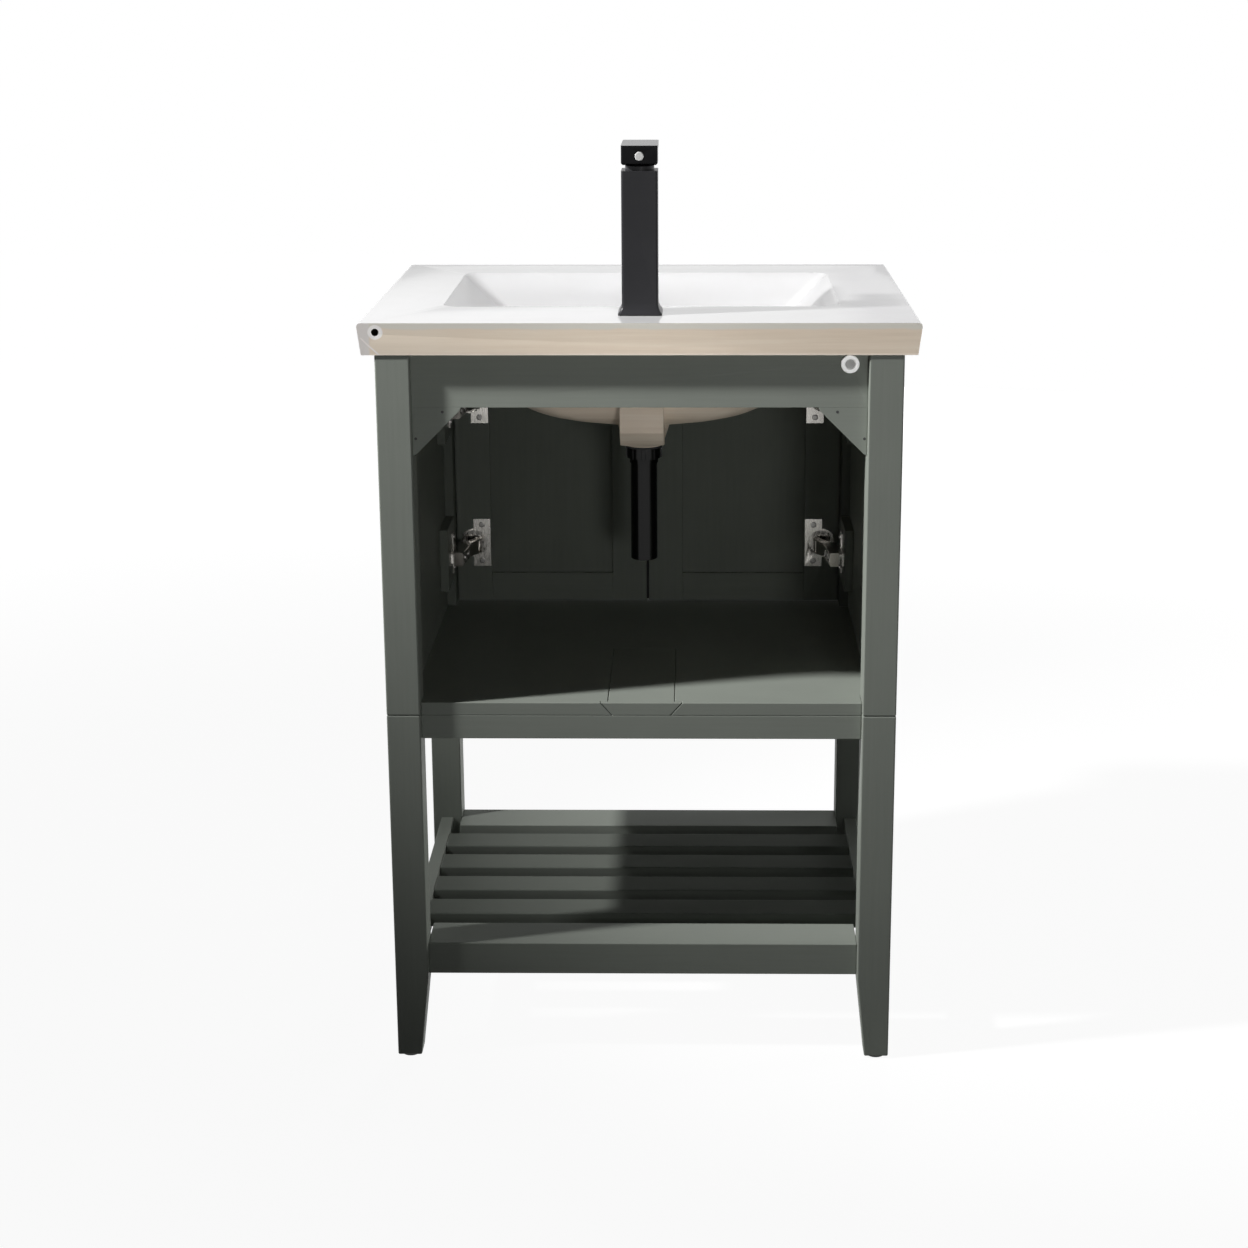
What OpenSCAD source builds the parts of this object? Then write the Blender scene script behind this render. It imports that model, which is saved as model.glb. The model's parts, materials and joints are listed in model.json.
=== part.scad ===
// Bathroom vanity unit: painted open-back cabinet on four legs, with a slatted shelf,
// two inset doors on concealed hinges, a ceramic basin top and a single lever faucet.
// Front (doors) towards -Y, open back towards +Y, origin on the floor under the middle of the top.

/* [Ceramic top] */
// Width of the ceramic top
top_w = 610; // [590:5:680]
// Depth of the ceramic top, back to front
top_d = 470; // [455:5:520]
// Thickness of the rim of the top
top_t = 35; // [28:1:45]
// Height of the top surface above the floor
total_h = 870; // [840:5:920]
// How far the sides of the rim lean in at the bottom
side_lean = 4; // [1:0.5:8]
// Rounding of the upper rim edge
rim_r = 4; // [2:0.5:8]

/* [Basin] */
// Width of the basin opening
bowl_w = 444; // [400:4:480]
// Back edge of the top to the back of the basin opening
bowl_back = 120; // [114:1:130]
// Front edge of the top to the front of the basin opening
bowl_front = 82; // [70:1:95]
// Depth of the basin to its flat floor
bowl_depth = 139; // [125:1:150]
// Wall thickness of the basin
bowl_wall = 11; // [8:0.5:14]
// Back edge of the top to the middle of the drain
drain_back = 215; // [200:1:235]
// Diameter of the drain hole
drain_hole_d = 36; // [35:0.5:38]
// Length of the boss under the drain
boss_h = 30; // [20:1:40]
// Width of the overflow channel behind the basin
overflow_w = 50; // [40:1:60]
// Diameter of the overflow hole
overflow_d = 18; // [14:1:22]
// Top surface down to the overflow hole
overflow_drop = 32; // [28:1:40]
// Diameter of the casting vent hole in the back edge
vent_d = 8; // [5:0.5:10]
// Side edge of the top to the vent hole
vent_in = 20; // [14:1:40]
// Top surface down to the vent hole
vent_drop = 10; // [8:0.5:18]

/* [Cabinet] */
// How far the top stands out past the legs at each side
side_over = 18; // [12:1:28]
// How far the top stands out past the legs at the front
front_over = 36.5; // [30:0.5:40]
// Back edge of the top to the backs of the legs
base_inset = 1.5; // [0:0.5:5]
// Side of a square leg
leg_s = 38; // [34:1:45]
// Height of the joint between leg and post
split_z = 423; // [410:1:430]
// Thickness of the side panels and side shelf rails
panel_t = 16; // [12:1:20]
// How far the back rails stand in from the backs of the legs
rail_in = 10.5; // [6:0.5:14]
// Thickness of the upper and lower cabinet rails
rail_t = 18; // [15:0.5:22]
// Height of the back top rail
back_rail_h = 60; // [50:1:70]
// Side of a back corner gusset
gusset_s = 54; // [40:1:70]
// Height of the cabinet floor's upper face
floor_z = 435; // [430:1:450]
// Thickness of the cabinet floor
floor_t = 15; // [12:1:18]
// Height of the back rail under the floor
low_rail_h = 28; // [20:1:40]
// Width of the removable insert in the floor
insert_w = 75; // [60:1:90]
// Length of the removable insert in the floor
insert_len = 200; // [150:5:230]
// How far the insert's flared lip is wider on each side
insert_flare = 8.5; // [5:0.5:15]
// Depth of the insert's flared lip
insert_lip = 6; // [4:1:10]
// Width of the ledge that carries the insert
insert_rebate = 5; // [3:0.5:8]
// Thickness of the insert over its ledge
insert_step = 8; // [6:0.5:10]
// Gap round the insert
insert_gap = 0.6; // [0.4:0.1:1]
// Height of the front top rail
front_rail_h = 50; // [40:1:60]
// Diameter of the round cap on the back rail
cap_d = 20; // [15:1:24]
// Leg to the middle of the round cap
cap_in = 20.5; // [14:0.5:30]

/* [Legs and shelf] */
// Height where the leg taper starts
taper_z = 100; // [80:1:101]
// Side of the foot at the floor
foot_s = 28; // [22:1:34]
// Thickness of a foot glide
glide_t = 3; // [2:0.5:5]
// Length of a foot glide with its pin
glide_pin_l = 16; // [12:1:20]
// Height of the shelf's upper face
shelf_z = 140; // [140:1:170]
// Height of the shelf rails
shelf_rail_h = 38; // [30:1:38]
// Depth of the front and back shelf rails
shelf_rail_d = 56; // [45:1:64]
// Number of loose slats between the rails
slat_n = 4; // [3:1:4]
// Width of a slat
slat_w = 42; // [34:1:46]
// Thickness of a slat
slat_t = 18; // [12:1:22]
// Diameter of the dowel in each leg joint
dowel_d = 10; // [8:1:12]
// Length of the dowel in each leg joint
dowel_len = 60; // [40:2:70]

/* [Doors] */
// Thickness of the door frame
door_t = 19; // [18.5:0.5:22]
// How far the doors stand in from the leg fronts
door_in = 1.5; // [0.5:0.5:3]
// Gap between door and leg
door_side_gap = 2; // [1.5:0.5:4]
// Gap over and under the doors
door_end_gap = 2; // [1.5:0.5:4]
// Gap between the two doors
door_mid_gap = 3; // [2:0.5:5]
// Width of the door stiles
stile_w = 44; // [42.5:0.5:55]
// Height of the door rails
door_rail_h = 37; // [30:1:50]
// Thickness of the door's middle panel
door_panel_t = 8; // [6:0.5:10]
// Depth of the groove that holds the middle panel
groove_d = 8; // [5:0.5:10]
// Side gap between panel and groove
groove_gap = 0.2; // [0.1:0.05:0.3]
// Diameter of a door knob
knob_d = 26; // [20:1:32]
// How far a knob stands out
knob_out = 25; // [20:1:30]
// Height of the knobs above the floor
knob_z = 700; // [600:5:750]

/* [Door hinges] */
// Door end to the middle of a hinge
hinge_end = 78; // [60:1:100]
// Door edge to the middle of the hinge cup
cup_in = 22.5; // [22:0.25:24]
// Diameter of the hinge cup
cup_d = 35; // [34.5:0.25:35.5]
// Depth of the hinge cup
cup_depth = 12.6; // [12:0.1:13]
// Wall of the hinge cup
cup_wall = 1; // [0.8:0.1:1.2]
// Height of the cup's screw plate
cup_plate_h = 63; // [56:1:70]
// Width of the cup's screw plate
cup_plate_w = 22; // [18:1:24]
// Diameter of the hinge pins
pin_d = 2.4; // [2:0.1:2.6]
// Thickness of the sheet link
link_t = 1.2; // [1:0.1:1.3]
// Width of the sheet link
link_w = 14; // [10:0.5:16]
// Thickness of an arm cheek
cheek_t = 1.5; // [1:0.1:2]
// Height of a packing block
block_h = 80; // [66:2:90]
// Front to back size of a packing block
block_d = 75; // [70:1:90]

/* [Faucet] */
// Side of the square column
col_s = 40; // [38:1:44]
// Side of the column's flared foot
foot_flare_s = 49; // [46:1:54]
// Height of the column with its foot
col_h = 156; // [140:1:180]
// Back edge of the top to the middle of the faucet
faucet_back = 72; // [66:1:74]
// Thickness of the rubber gasket under the faucet
gasket_t = 1.5; // [1:0.25:3]
// Height of the round neck between column and handle
neck_h = 6; // [5.5:0.25:7.5]
// Diameter of the round neck
neck_d = 32; // [28:1:32]
// Height of the handle block
handle_h = 21; // [20:0.5:26]
// Length of the lever plate, back to front
lever_len = 81; // [70:1:110]
// Thickness of the lever plate
lever_t = 6; // [4:0.5:8]
// Diameter of the plug in the back of the handle
plug_d = 10; // [7:0.5:11]
// Length of the spout in front of the column
spout_len = 115; // [95:1:130]
// Width of the spout
spout_w = 34; // [32:1:36]
// Height of the spout
spout_h = 20; // [18:1:24]
// Column top down to the spout
spout_drop = 15; // [12:1:30]
// Diameter of the cartridge
cart_d = 26; // [25:0.5:27]
// Diameter of the threaded shank
shank_d = 28; // [26:1:32]
// Length of the shank below the top surface
shank_len = 65; // [58:1:75]
// Diameter of a supply port
port_d = 9; // [8:0.5:10]

/* [Drain] */
// Diameter of the drain flange
flange_d = 56; // [52:1:58]
// Diameter of the drain body
body_d = 34; // [34:0.2:34.8]
// Diameter of the tailpiece
tail_d = 31.8; // [31.2:0.1:32]
// Wall of the tailpiece
tail_wall = 1.4; // [1:0.1:2]
// Length of the tailpiece
tail_len = 130; // [100:2:160]
// Diameter of the drain nut
nut_d = 43; // [41:1:50]
// Height of the drain nut
nut_h = 13; // [10:1:18]
// Diameter of the stopper
stopper_d = 48; // [44:1:50]
// Diameter of the stopper's stem
stem_d = 8; // [6:0.5:9]

/* [Hidden] */
$fn = 48;

// paint and metal colours
paint = [0.42, 0.45, 0.41];
nickel = [0.72, 0.72, 0.70];
black = [0.10, 0.10, 0.11];
white = [0.93, 0.92, 0.90];
rubber = [0.15, 0.15, 0.15];
brass = [0.75, 0.62, 0.35];
steel = [0.60, 0.60, 0.62];

// small clearances
run = 0.06;     // a pin that turns in its hole
slip = 0.1;     // a fixed piece in its hole
rest_gap = 0.3; // a moving piece over its seat
cut = 1;        // how far a cutting shape runs past a face

// main planes
base_w = top_w - 2 * side_over;
base_d = top_d - base_inset - front_over;
deck_z = total_h - top_t;
back_y = top_d / 2;
leg_back_y = back_y - base_inset;
leg_front_y = leg_back_y - base_d;
rail_back_y = leg_back_y - rail_in;
door_front_y = leg_front_y + door_in;
leg_in_x = base_w / 2 - leg_s;
panel_x = base_w / 2 - leg_s / 2 - panel_t / 2;
floor_low_z = floor_z - floor_t;
frame_low_z = floor_low_z - low_rail_h;
door_low_z = floor_z + door_end_gap;
door_high_z = deck_z - front_rail_h - door_end_gap;
door_edge_x = leg_in_x - door_side_gap;
shelf_low_z = shelf_z - shelf_rail_h;
glide_pin_r = 1.5;

// basin: for each row the share of the depth, then how far side, back and front step in, then the corner
bowl_rings = [
    [0.00, -3, -3, -3, 17],
    [0.02, 0, 0, 0, 14],
    [0.32, 42, 6, 12, 16],
    [0.60, 68, 12, 26, 24],
    [0.78, 88, 20, 44, 32],
    [0.88, 112, 30, 62, 36],
    [0.94, 140, 44, 84, 36]];
under_ring = [30, 4, 9, 16]; // the basin's shell where it leaves the underside of the top
flat_r = 30;                 // flat floor round the drain
arc_n = 8;                   // steps in each rounded corner
blend_n = 3;                 // rings for each row of the table
bowl_len = top_d - bowl_back - bowl_front;
bowl_floor_z = total_h - bowl_depth;
boss_low_z = bowl_floor_z - bowl_wall - boss_h;
drain_y = back_y - drain_back;
boss_top_r = 34;
boss_low_r = nut_d / 2 + 1.5;
over_back = 14;    // overflow channel behind the basin opening
over_wall = 4.5;
over_gap = 7;      // clear width of the overflow passage
over_chamfer = 18; // slope at the foot of the channel
over_foot = 9;     // drain boss's lower end up to the passage

// faucet levels
faucet_y = back_y - faucet_back;
col_low_z = total_h + gasket_t;
col_top_z = col_low_z + col_h;
handle_low_z = col_top_z + neck_h + rest_gap;
handle_top_z = handle_low_z + handle_h;
neck_sink = 6;      // the neck ring's depth in the column
cart_h = 36;
cart_low_z = col_top_z - neck_sink - cart_h;
pivot_z = col_top_z - neck_sink - 5.7;
stem_r = 3;
eye_r = 3.2;
carrier_r = 10.4;
socket_r = neck_d / 2 + 0.6;
socket_h = 6;
plug_z = handle_low_z + 9.5;
spout_low_z = col_top_z - spout_drop - spout_h;
foot_flare_h = 12;
col_r = 3;
water_r = 5;

// drain levels
flange_t = 3;
body_low_z = boss_low_z - 22;
tail_top_z = body_low_z + 12;
gasket_h = 3;
bridge_z = boss_low_z + 10;
stopper_z = bowl_floor_z + flange_t + rest_gap;

// hinge pivots, measured from the door's hinge edge and from its front face
cup_pin = [12, 11];
arm_pin = [29.14, 31];
knuckle_r = 2.1;
cup_floor_v = door_t - cup_depth;
hinge_z = [door_low_z + hinge_end, door_high_z - hinge_end];
block_front_v = leg_s - door_in;
panel_face_u = door_edge_x - panel_x;
block_face_u = -door_side_gap;
plate_t = 2.5;
ridge_h = 4;
arm_back_v = 104;
cup_plate_t = 1;

// square with rounded corners, centred
module round_square(w, d, r) {
    square([w - 2 * r, d], center = true);
    square([w, d - 2 * r], center = true);
    for (x = [-1, 1], y = [-1, 1])
        translate([x * (w / 2 - r), y * (d / 2 - r)])
            circle(r, $fn = 24);
}

// box given by two opposite corners
module block(a, b) {
    translate(a)
        cube(b - a);
}

// one rounded rectangle ring of points at height z
function ring(xh, y0, y1, r, z) = [
    for (c = [0:3], i = [0:arc_n])
        let (a = 90 * c + 90 * i / arc_n)
        let (cx = (c == 0 || c == 3) ? xh - r : r - xh)
        let (cy = c < 2 ? y1 - r : y0 + r)
        [cx + r * cos(a), cy + r * sin(a), z]];

// closed skin through a list of rings, lowest ring first
module loft(rings) {
    m = len(rings[0]);
    n = len(rings);
    points = [for (k = rings) each k];
    low = [[for (i = [0:m - 1]) i]];
    high = [[for (i = [0:m - 1]) n * m - 1 - i]];
    sides = [
        for (k = [0:n - 2], i = [0:m - 1])
            let (j = (i + 1) % m)
            each [[k * m + j, k * m + i, (k + 1) * m + j], [(k + 1) * m + j, k * m + i, (k + 1) * m + i]]];
    polyhedron(points, concat(low, sides, high));
}

// row of the table at share t of the way from row k to the next, on a smooth curve
function blend_row(k, t) =
    let (last = len(bowl_rings) - 1)
    let (a = bowl_rings[max(k - 1, 1)], b = bowl_rings[k])
    let (c = bowl_rings[k + 1], d = bowl_rings[min(k + 2, last)])
    0.5 * (2 * b + (c - a) * t + (2 * a - 5 * b + 4 * c - d) * t * t + (3 * b - a - 3 * c + d) * t * t * t);

bowl_rows = concat(
    [bowl_rings[0]],
    [for (k = [1:len(bowl_rings) - 2], i = [0:blend_n - 1]) blend_row(k, i / blend_n)],
    [bowl_rings[len(bowl_rings) - 1]]);

// basin ring from a row of the table, grown by g sideways and lowered by d
function bowl_ring(s, g, d) = ring(
    bowl_w / 2 - s[1] + g,
    back_y - bowl_back - bowl_len + s[3] - g,
    back_y - bowl_back - s[2] + g,
    s[4] + g,
    total_h - s[0] * bowl_depth - d);

function drain_ring(r, z) = ring(r + 0.4, drain_y - r - 0.4, drain_y + r + 0.4, r, z);

module bowl_hollow() {
    loft(concat(
        [drain_ring(flat_r, bowl_floor_z)],
        [for (k = [len(bowl_rows) - 1:-1:0]) bowl_ring(bowl_rows[k], 0, 0)],
        [bowl_ring(bowl_rows[0], 0, -cut)]));
}

module bowl_shell() {
    start = concat([(top_t - 2) / bowl_depth], under_ring);
    loft(concat(
        [drain_ring(flat_r + bowl_wall, bowl_floor_z - bowl_wall)],
        [for (k = [len(bowl_rows) - 1:-1:blend_n + 1]) bowl_ring(bowl_rows[k], bowl_wall, bowl_wall)],
        [bowl_ring(start, bowl_wall, 0)]));
}

// half outline of the rim, from the middle out, with a rounded upper edge
function rim_edge(half) = concat(
    [[half - side_lean, deck_z]],
    [for (i = [0:4]) [half - rim_r + rim_r * cos(22.5 * i), total_h - rim_r + rim_r * sin(22.5 * i)]]);

module rim_slab() {
    side = rim_edge(top_w / 2);
    front = rim_edge(top_d / 2);
    intersection() {
        translate([0, back_y, 0])
            rotate([90, 0, 0])
                linear_extrude(top_d)
                    polygon(concat(side, [for (i = [len(side) - 1:-1:0]) [-side[i][0], side[i][1]]]));
        translate([-top_w / 2 - cut, 0, 0])
            rotate([90, 0, 90])
                linear_extrude(top_w + 2 * cut)
                    polygon(concat([[back_y, deck_z], [back_y, total_h]],
                        [for (i = [len(front) - 1:-1:0]) [-front[i][0], front[i][1]]]));
    }
}

// outline in depth and height drawn out sideways, centred
module side_profile(points, w) {
    translate([-w / 2, 0, 0])
        rotate([90, 0, 90])
            linear_extrude(w)
                polygon(points);
}

over_y = back_y - bowl_back + over_back;
over_low_z = boss_low_z + 3;

module overflow_body() {
    side_profile([
        [over_y, deck_z + 2],
        [over_y, over_low_z + over_chamfer],
        [over_y - over_chamfer, over_low_z],
        [drain_y, boss_low_z],
        [drain_y, bowl_floor_z],
        [over_y - 30, bowl_floor_z + 30],
        [over_y - 16, deck_z + 2]], overflow_w);
}

// passage of even width that follows the channel's slope, and the round hole into the basin
module overflow_passage() {
    y0 = over_y - over_wall;
    z0 = boss_low_z + over_foot;
    top_z = total_h - overflow_drop + overflow_d / 2;
    drain_side = drain_y + drain_hole_d / 2 - 3;
    outer = over_low_z + over_chamfer - over_y + over_wall * sqrt(2);
    inner = outer + over_gap * sqrt(2);
    side_profile([
        [y0 - over_gap, top_z],
        [y0 - over_gap, y0 - over_gap + inner],
        [z0 + over_gap - inner, z0 + over_gap],
        [drain_side, z0 + over_gap],
        [drain_side, z0],
        [z0 - outer, z0],
        [y0, y0 + outer],
        [y0, top_z]], overflow_w - 16);
    translate([0, y0 - 1, total_h - overflow_drop])
        rotate([90, 0, 0])
            cylinder(h = 22, d = overflow_d);
}

module basin_top() {
    color(white)
    difference() {
        union() {
            rim_slab();
            bowl_shell();
            overflow_body();
            translate([0, drain_y, boss_low_z])
                cylinder(h = boss_h + 4, r1 = boss_low_r, r2 = boss_top_r);
        }
        bowl_hollow();
        overflow_passage();
        translate([0, drain_y, boss_low_z - cut])
            cylinder(h = boss_h + bowl_wall + 2 * cut, d = drain_hole_d);
        translate([0, faucet_y, deck_z - cut])
            cylinder(h = top_t + 2 * cut, d = shank_d + 7);
        translate([top_w / 2 - vent_in, back_y + cut, total_h - vent_drop])
            rotate([90, 0, 0])
                cylinder(h = 16, d = vent_d);
    }
}

module at_faucet(z) {
    translate([0, faucet_y, z])
        children();
}

module faucet_body() {
    flare = [
        for (k = [0:4])
            let (f = k / 4)
            let (h = col_s / 2 + (foot_flare_s - col_s) / 2 * pow(1 - f, 2.2))
            ring(h, -h, h, col_r, f * foot_flare_h)];
    color(black)
    at_faucet(col_low_z)
    difference() {
        union() {
            loft(flare);
            translate([0, 0, foot_flare_h - 0.5])
                linear_extrude(col_h - foot_flare_h + 0.5)
                    round_square(col_s, col_s, col_r);
        }
        translate([0, 0, col_h - neck_sink])
            cylinder(h = neck_sink + cut, d = neck_d + 2 * slip);
        translate([0, 0, cart_low_z - col_low_z])
            cylinder(h = cart_h + cut, d = cart_d + 2 * slip);
        translate([0, 0, 15])
            cylinder(h = cart_low_z - col_low_z, r = water_r);
        translate([0, 0, -cut])
            cylinder(h = 16 + cut, d = shank_d - 4 + 2 * slip);
        translate([0, 0, spout_low_z - col_low_z + spout_h / 2])
            rotate([90, 0, 0])
                cylinder(h = col_s / 2 + cut, r = water_r);
    }
}

module faucet_spout() {
    spout_r = 3;
    outlet = spout_len - 17;
    color(black)
    at_faucet(spout_low_z)
    difference() {
        translate([0, -col_s / 2, spout_h / 2])
            rotate([90, 0, 0])
                linear_extrude(spout_len)
                    round_square(spout_w, spout_h, spout_r);
        translate([0, -col_s / 2 + cut, spout_h / 2])
            rotate([90, 0, 0])
                cylinder(h = outlet + cut, r = water_r);
        translate([0, -col_s / 2 - outlet, -cut])
            cylinder(h = 8 + cut, r = 11.6);
        translate([0, -col_s / 2 - outlet, 0])
            cylinder(h = spout_h / 2, r = water_r + 2);
    }
}

module faucet_aerator() {
    color(steel)
    at_faucet(spout_low_z)
    translate([0, -col_s / 2 - spout_len + 17, -2.5])
    difference() {
        cylinder(h = 10.3, r = 11.5);
        translate([0, 0, -cut])
            cylinder(h = 3 + cut, r = 9);
        for (a = [0:60:300])
            rotate([0, 0, a])
                translate([5, 0, 0])
                    cylinder(h = 12, r = 1.4, $fn = 16);
    }
}

module faucet_gasket() {
    color(rubber)
    at_faucet(total_h)
    linear_extrude(gasket_t)
    difference() {
        round_square(foot_flare_s - 1, foot_flare_s - 1, col_r);
        circle(d = shank_d + 7);
    }
}

module faucet_cartridge() {
    color(white)
    at_faucet(cart_low_z)
    difference() {
        cylinder(h = cart_h, d = cart_d);
        translate([0, 0, cart_h - 13])
            cylinder(h = 13 + cut, r = carrier_r + run);
        for (x = [-6, 6])
            translate([x, 0, -cut])
                cylinder(h = 12, r = 3, $fn = 24);
    }
}

module cartridge_nut() {
    color(black)
    at_faucet(col_top_z - neck_sink)
    difference() {
        union() {
            cylinder(h = neck_sink + neck_h - 1.5, d = neck_d);
            translate([0, 0, neck_sink + neck_h - 1.5])
                cylinder(h = 1.5, r1 = neck_d / 2, r2 = neck_d / 2 - 1.5);
        }
        translate([0, 0, -cut])
            cylinder(h = neck_sink + neck_h + 2 * cut, r = 9);
    }
}

module cartridge_carrier() {
    low = cart_low_z + cart_h - 13 + slip;
    color(steel)
    at_faucet(0) {
        difference() {
            translate([0, 0, low])
                cylinder(h = 12.2, r = carrier_r);
            block([-3.2, -8, pivot_z - 4.6], [3.2, 8, col_top_z]);
        }
        translate([-8, 0, pivot_z])
            rotate([0, 90, 0])
                cylinder(h = 16, r = 1.5);
    }
}

module lever_stem() {
    color(steel)
    at_faucet(pivot_z)
    difference() {
        union() {
            translate([-3, 0, 0])
                rotate([0, 90, 0])
                    cylinder(h = 6, r = eye_r);
            cylinder(h = handle_low_z + socket_h + 9 - pivot_z, r = stem_r - 0.2);
        }
        translate([-4, 0, 0])
            rotate([0, 90, 0])
                cylinder(h = 8, r = 1.5 + run);
    }
}

// handle block with its lower edges bevelled and the lever plate on top
module faucet_handle() {
    bevel = 2;
    half = col_s / 2;
    color(black)
    at_faucet(handle_low_z)
    difference() {
        union() {
            linear_extrude(handle_h)
                round_square(col_s, col_s, col_r);
            translate([0, half - lever_len / 2, handle_h - lever_t])
                linear_extrude(lever_t)
                    round_square(col_s, lever_len, col_r);
        }
        for (a = [0:90:270])
            rotate([0, 0, a])
                translate([-col_s, -half, 0])
                    rotate([90, 0, 90])
                        linear_extrude(2 * col_s)
                            polygon([[-cut, -cut], [bevel + cut, -cut], [-cut, bevel + cut]]);
        translate([0, 0, -cut])
            cylinder(h = socket_h + cut, r = socket_r);
        translate([0, 0, 0])
            cylinder(h = socket_h + 9 + slip, r = stem_r);
        translate([0, half + cut, plug_z - handle_low_z])
            rotate([90, 0, 0])
                cylinder(h = 2.5 + cut, d = plug_d + 2 * slip);
        translate([0, half + cut, plug_z - handle_low_z])
            rotate([90, 0, 0])
                cylinder(h = half, r = 2.6);
    }
}

module handle_plug() {
    color(nickel)
    translate([0, faucet_y + col_s / 2 + 0.4, plug_z])
        rotate([90, 0, 0]) {
            cylinder(h = 0.8, r1 = plug_d / 2 - 0.6, r2 = plug_d / 2);
            translate([0, 0, 0.8])
                cylinder(h = 2, d = plug_d);
        }
}

module handle_screw() {
    color(steel)
    translate([0, faucet_y + stem_r + 9.2, plug_z])
        rotate([90, 0, 0])
            difference() {
                cylinder(h = 9, r = 2.5);
                translate([0, 0, -cut])
                    cylinder(h = 3 + cut, r = 1.3, $fn = 6);
            }
}

module mounting_shank() {
    neck_up = 15;
    color(brass)
    at_faucet(total_h - shank_len)
    difference() {
        union() {
            cylinder(h = shank_len + gasket_t - slip, d = shank_d);
            cylinder(h = shank_len + gasket_t + neck_up, d = shank_d - 4);
        }
        for (x = [-6.5, 6.5])
            translate([x, 0, -cut])
                cylinder(h = 16 + cut, d = port_d);
        translate([0, 0, 16])
            cylinder(h = shank_len + neck_up, r = water_r);
    }
}

module mounting_nut() {
    color(brass)
    at_faucet(deck_z)
    difference() {
        union() {
            translate([0, 0, -3])
                cylinder(h = 3, r = 24);
            translate([0, 0, -12])
                cylinder(h = 9.2, r = 21, $fn = 6);
        }
        translate([0, 0, -12 - cut])
            cylinder(h = 12 + 2 * cut, d = shank_d + 2 * slip);
    }
}

module drain_flange_body() {
    color(black)
    translate([0, drain_y, 0])
    difference() {
        union() {
            translate([0, 0, bowl_floor_z])
                cylinder(h = flange_t - 1, d = flange_d);
            translate([0, 0, bowl_floor_z + flange_t - 1])
                cylinder(h = 1, r1 = flange_d / 2, r2 = flange_d / 2 - 1);
            translate([0, 0, body_low_z])
                cylinder(h = bowl_floor_z - body_low_z + 1, d = body_d);
        }
        difference() {
            translate([0, 0, tail_top_z - cut])
                cylinder(h = bowl_floor_z + flange_t + 2 * cut - tail_top_z, d = body_d - 6);
            difference() {
                block([-body_d / 2, -3.5, bridge_z], [body_d / 2, 3.5, bridge_z + 7]);
                translate([0, 0, bridge_z - cut])
                    cylinder(h = 7 + 2 * cut, r = stem_d / 2 + run);
            }
        }
        translate([0, 0, body_low_z - cut])
            cylinder(h = 12 + cut, d = tail_d + 2 * slip);
    }
}

module drain_gasket() {
    color(rubber)
    translate([0, drain_y, boss_low_z - gasket_h])
    difference() {
        cylinder(h = gasket_h, d = nut_d);
        translate([0, 0, -cut])
            cylinder(h = gasket_h + 2 * cut, d = body_d + 2 * slip);
    }
}

module drain_nut() {
    color(black)
    translate([0, drain_y, boss_low_z - gasket_h - nut_h])
    difference() {
        union() {
            cylinder(h = nut_h, d = nut_d - 3);
            for (a = [0:45:315])
                rotate([0, 0, a])
                    translate([nut_d / 2 - 3, -2.5, 0])
                        cube([3, 5, nut_h]);
        }
        translate([0, 0, -cut])
            cylinder(h = nut_h + 2 * cut, d = body_d + 2 * slip);
    }
}

module drain_tailpiece() {
    color(black)
    translate([0, drain_y, tail_top_z - slip - tail_len])
    difference() {
        cylinder(h = tail_len, d = tail_d);
        translate([0, 0, -cut])
            cylinder(h = tail_len + 2 * cut, d = tail_d - 2 * tail_wall);
    }
}

module drain_stopper() {
    color(black)
    translate([0, drain_y, stopper_z]) {
        rotate_extrude()
            polygon(concat([[0, 0], [stopper_d / 2 - 1, 0]],
                [for (i = [0:5]) [(stopper_d / 2) * cos(15 * i), 1.5 + 5 * sin(15 * i)]],
                [[0, 6.5]]));
        translate([0, 0, bridge_z - 6 - stopper_z])
            cylinder(h = stopper_z - bridge_z + 7, d = stem_d);
    }
}

module leg_at(side, front) {
    x = side * (base_w / 2 - leg_s / 2);
    y = front ? leg_front_y + leg_s / 2 : leg_back_y - leg_s / 2;
    translate([x, y, 0])
        mirror([side > 0 ? 0 : 1, 0, 0])
            mirror([0, front ? 1 : 0, 0])
                children();
}

// upper post, its outer back corner towards +X and +Y
module post() {
    color(paint)
    difference() {
        translate([-leg_s / 2, -leg_s / 2, split_z])
            cube([leg_s, leg_s, deck_z - split_z]);
        translate([0, 0, split_z - cut])
            cylinder(h = dowel_len / 2 + cut + slip, d = dowel_d + 2 * slip);
    }
}

// lower leg, straight outside and tapered on its two inner faces
module leg() {
    h = leg_s / 2;
    inner = h - foot_s;
    outline = [[h, glide_t], [h, split_z], [-h, split_z], [-h, taper_z], [inner, glide_t]];
    color(paint)
    difference() {
        intersection() {
            translate([0, h, 0])
                rotate([90, 0, 0])
                    linear_extrude(leg_s)
                        polygon(outline);
            translate([-h, 0, 0])
                rotate([90, 0, 90])
                    linear_extrude(leg_s)
                        polygon(outline);
        }
        translate([0, 0, split_z - dowel_len / 2 - slip])
            cylinder(h = dowel_len, d = dowel_d + 2 * slip);
        translate([h - foot_s / 2, h - foot_s / 2, 0])
            cylinder(h = glide_pin_l + slip, r = glide_pin_r + slip, $fn = 24);
    }
}

module back_left_post() {
    leg_at(-1, false)
        post();
}

module back_right_post() {
    leg_at(1, false)
        post();
}

module front_left_post() {
    leg_at(-1, true)
        post();
}

module front_right_post() {
    leg_at(1, true)
        post();
}

module back_left_leg() {
    leg_at(-1, false)
        leg();
}

module back_right_leg() {
    leg_at(1, false)
        leg();
}

module front_left_leg() {
    leg_at(-1, true)
        leg();
}

module front_right_leg() {
    leg_at(1, true)
        leg();
}

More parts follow.
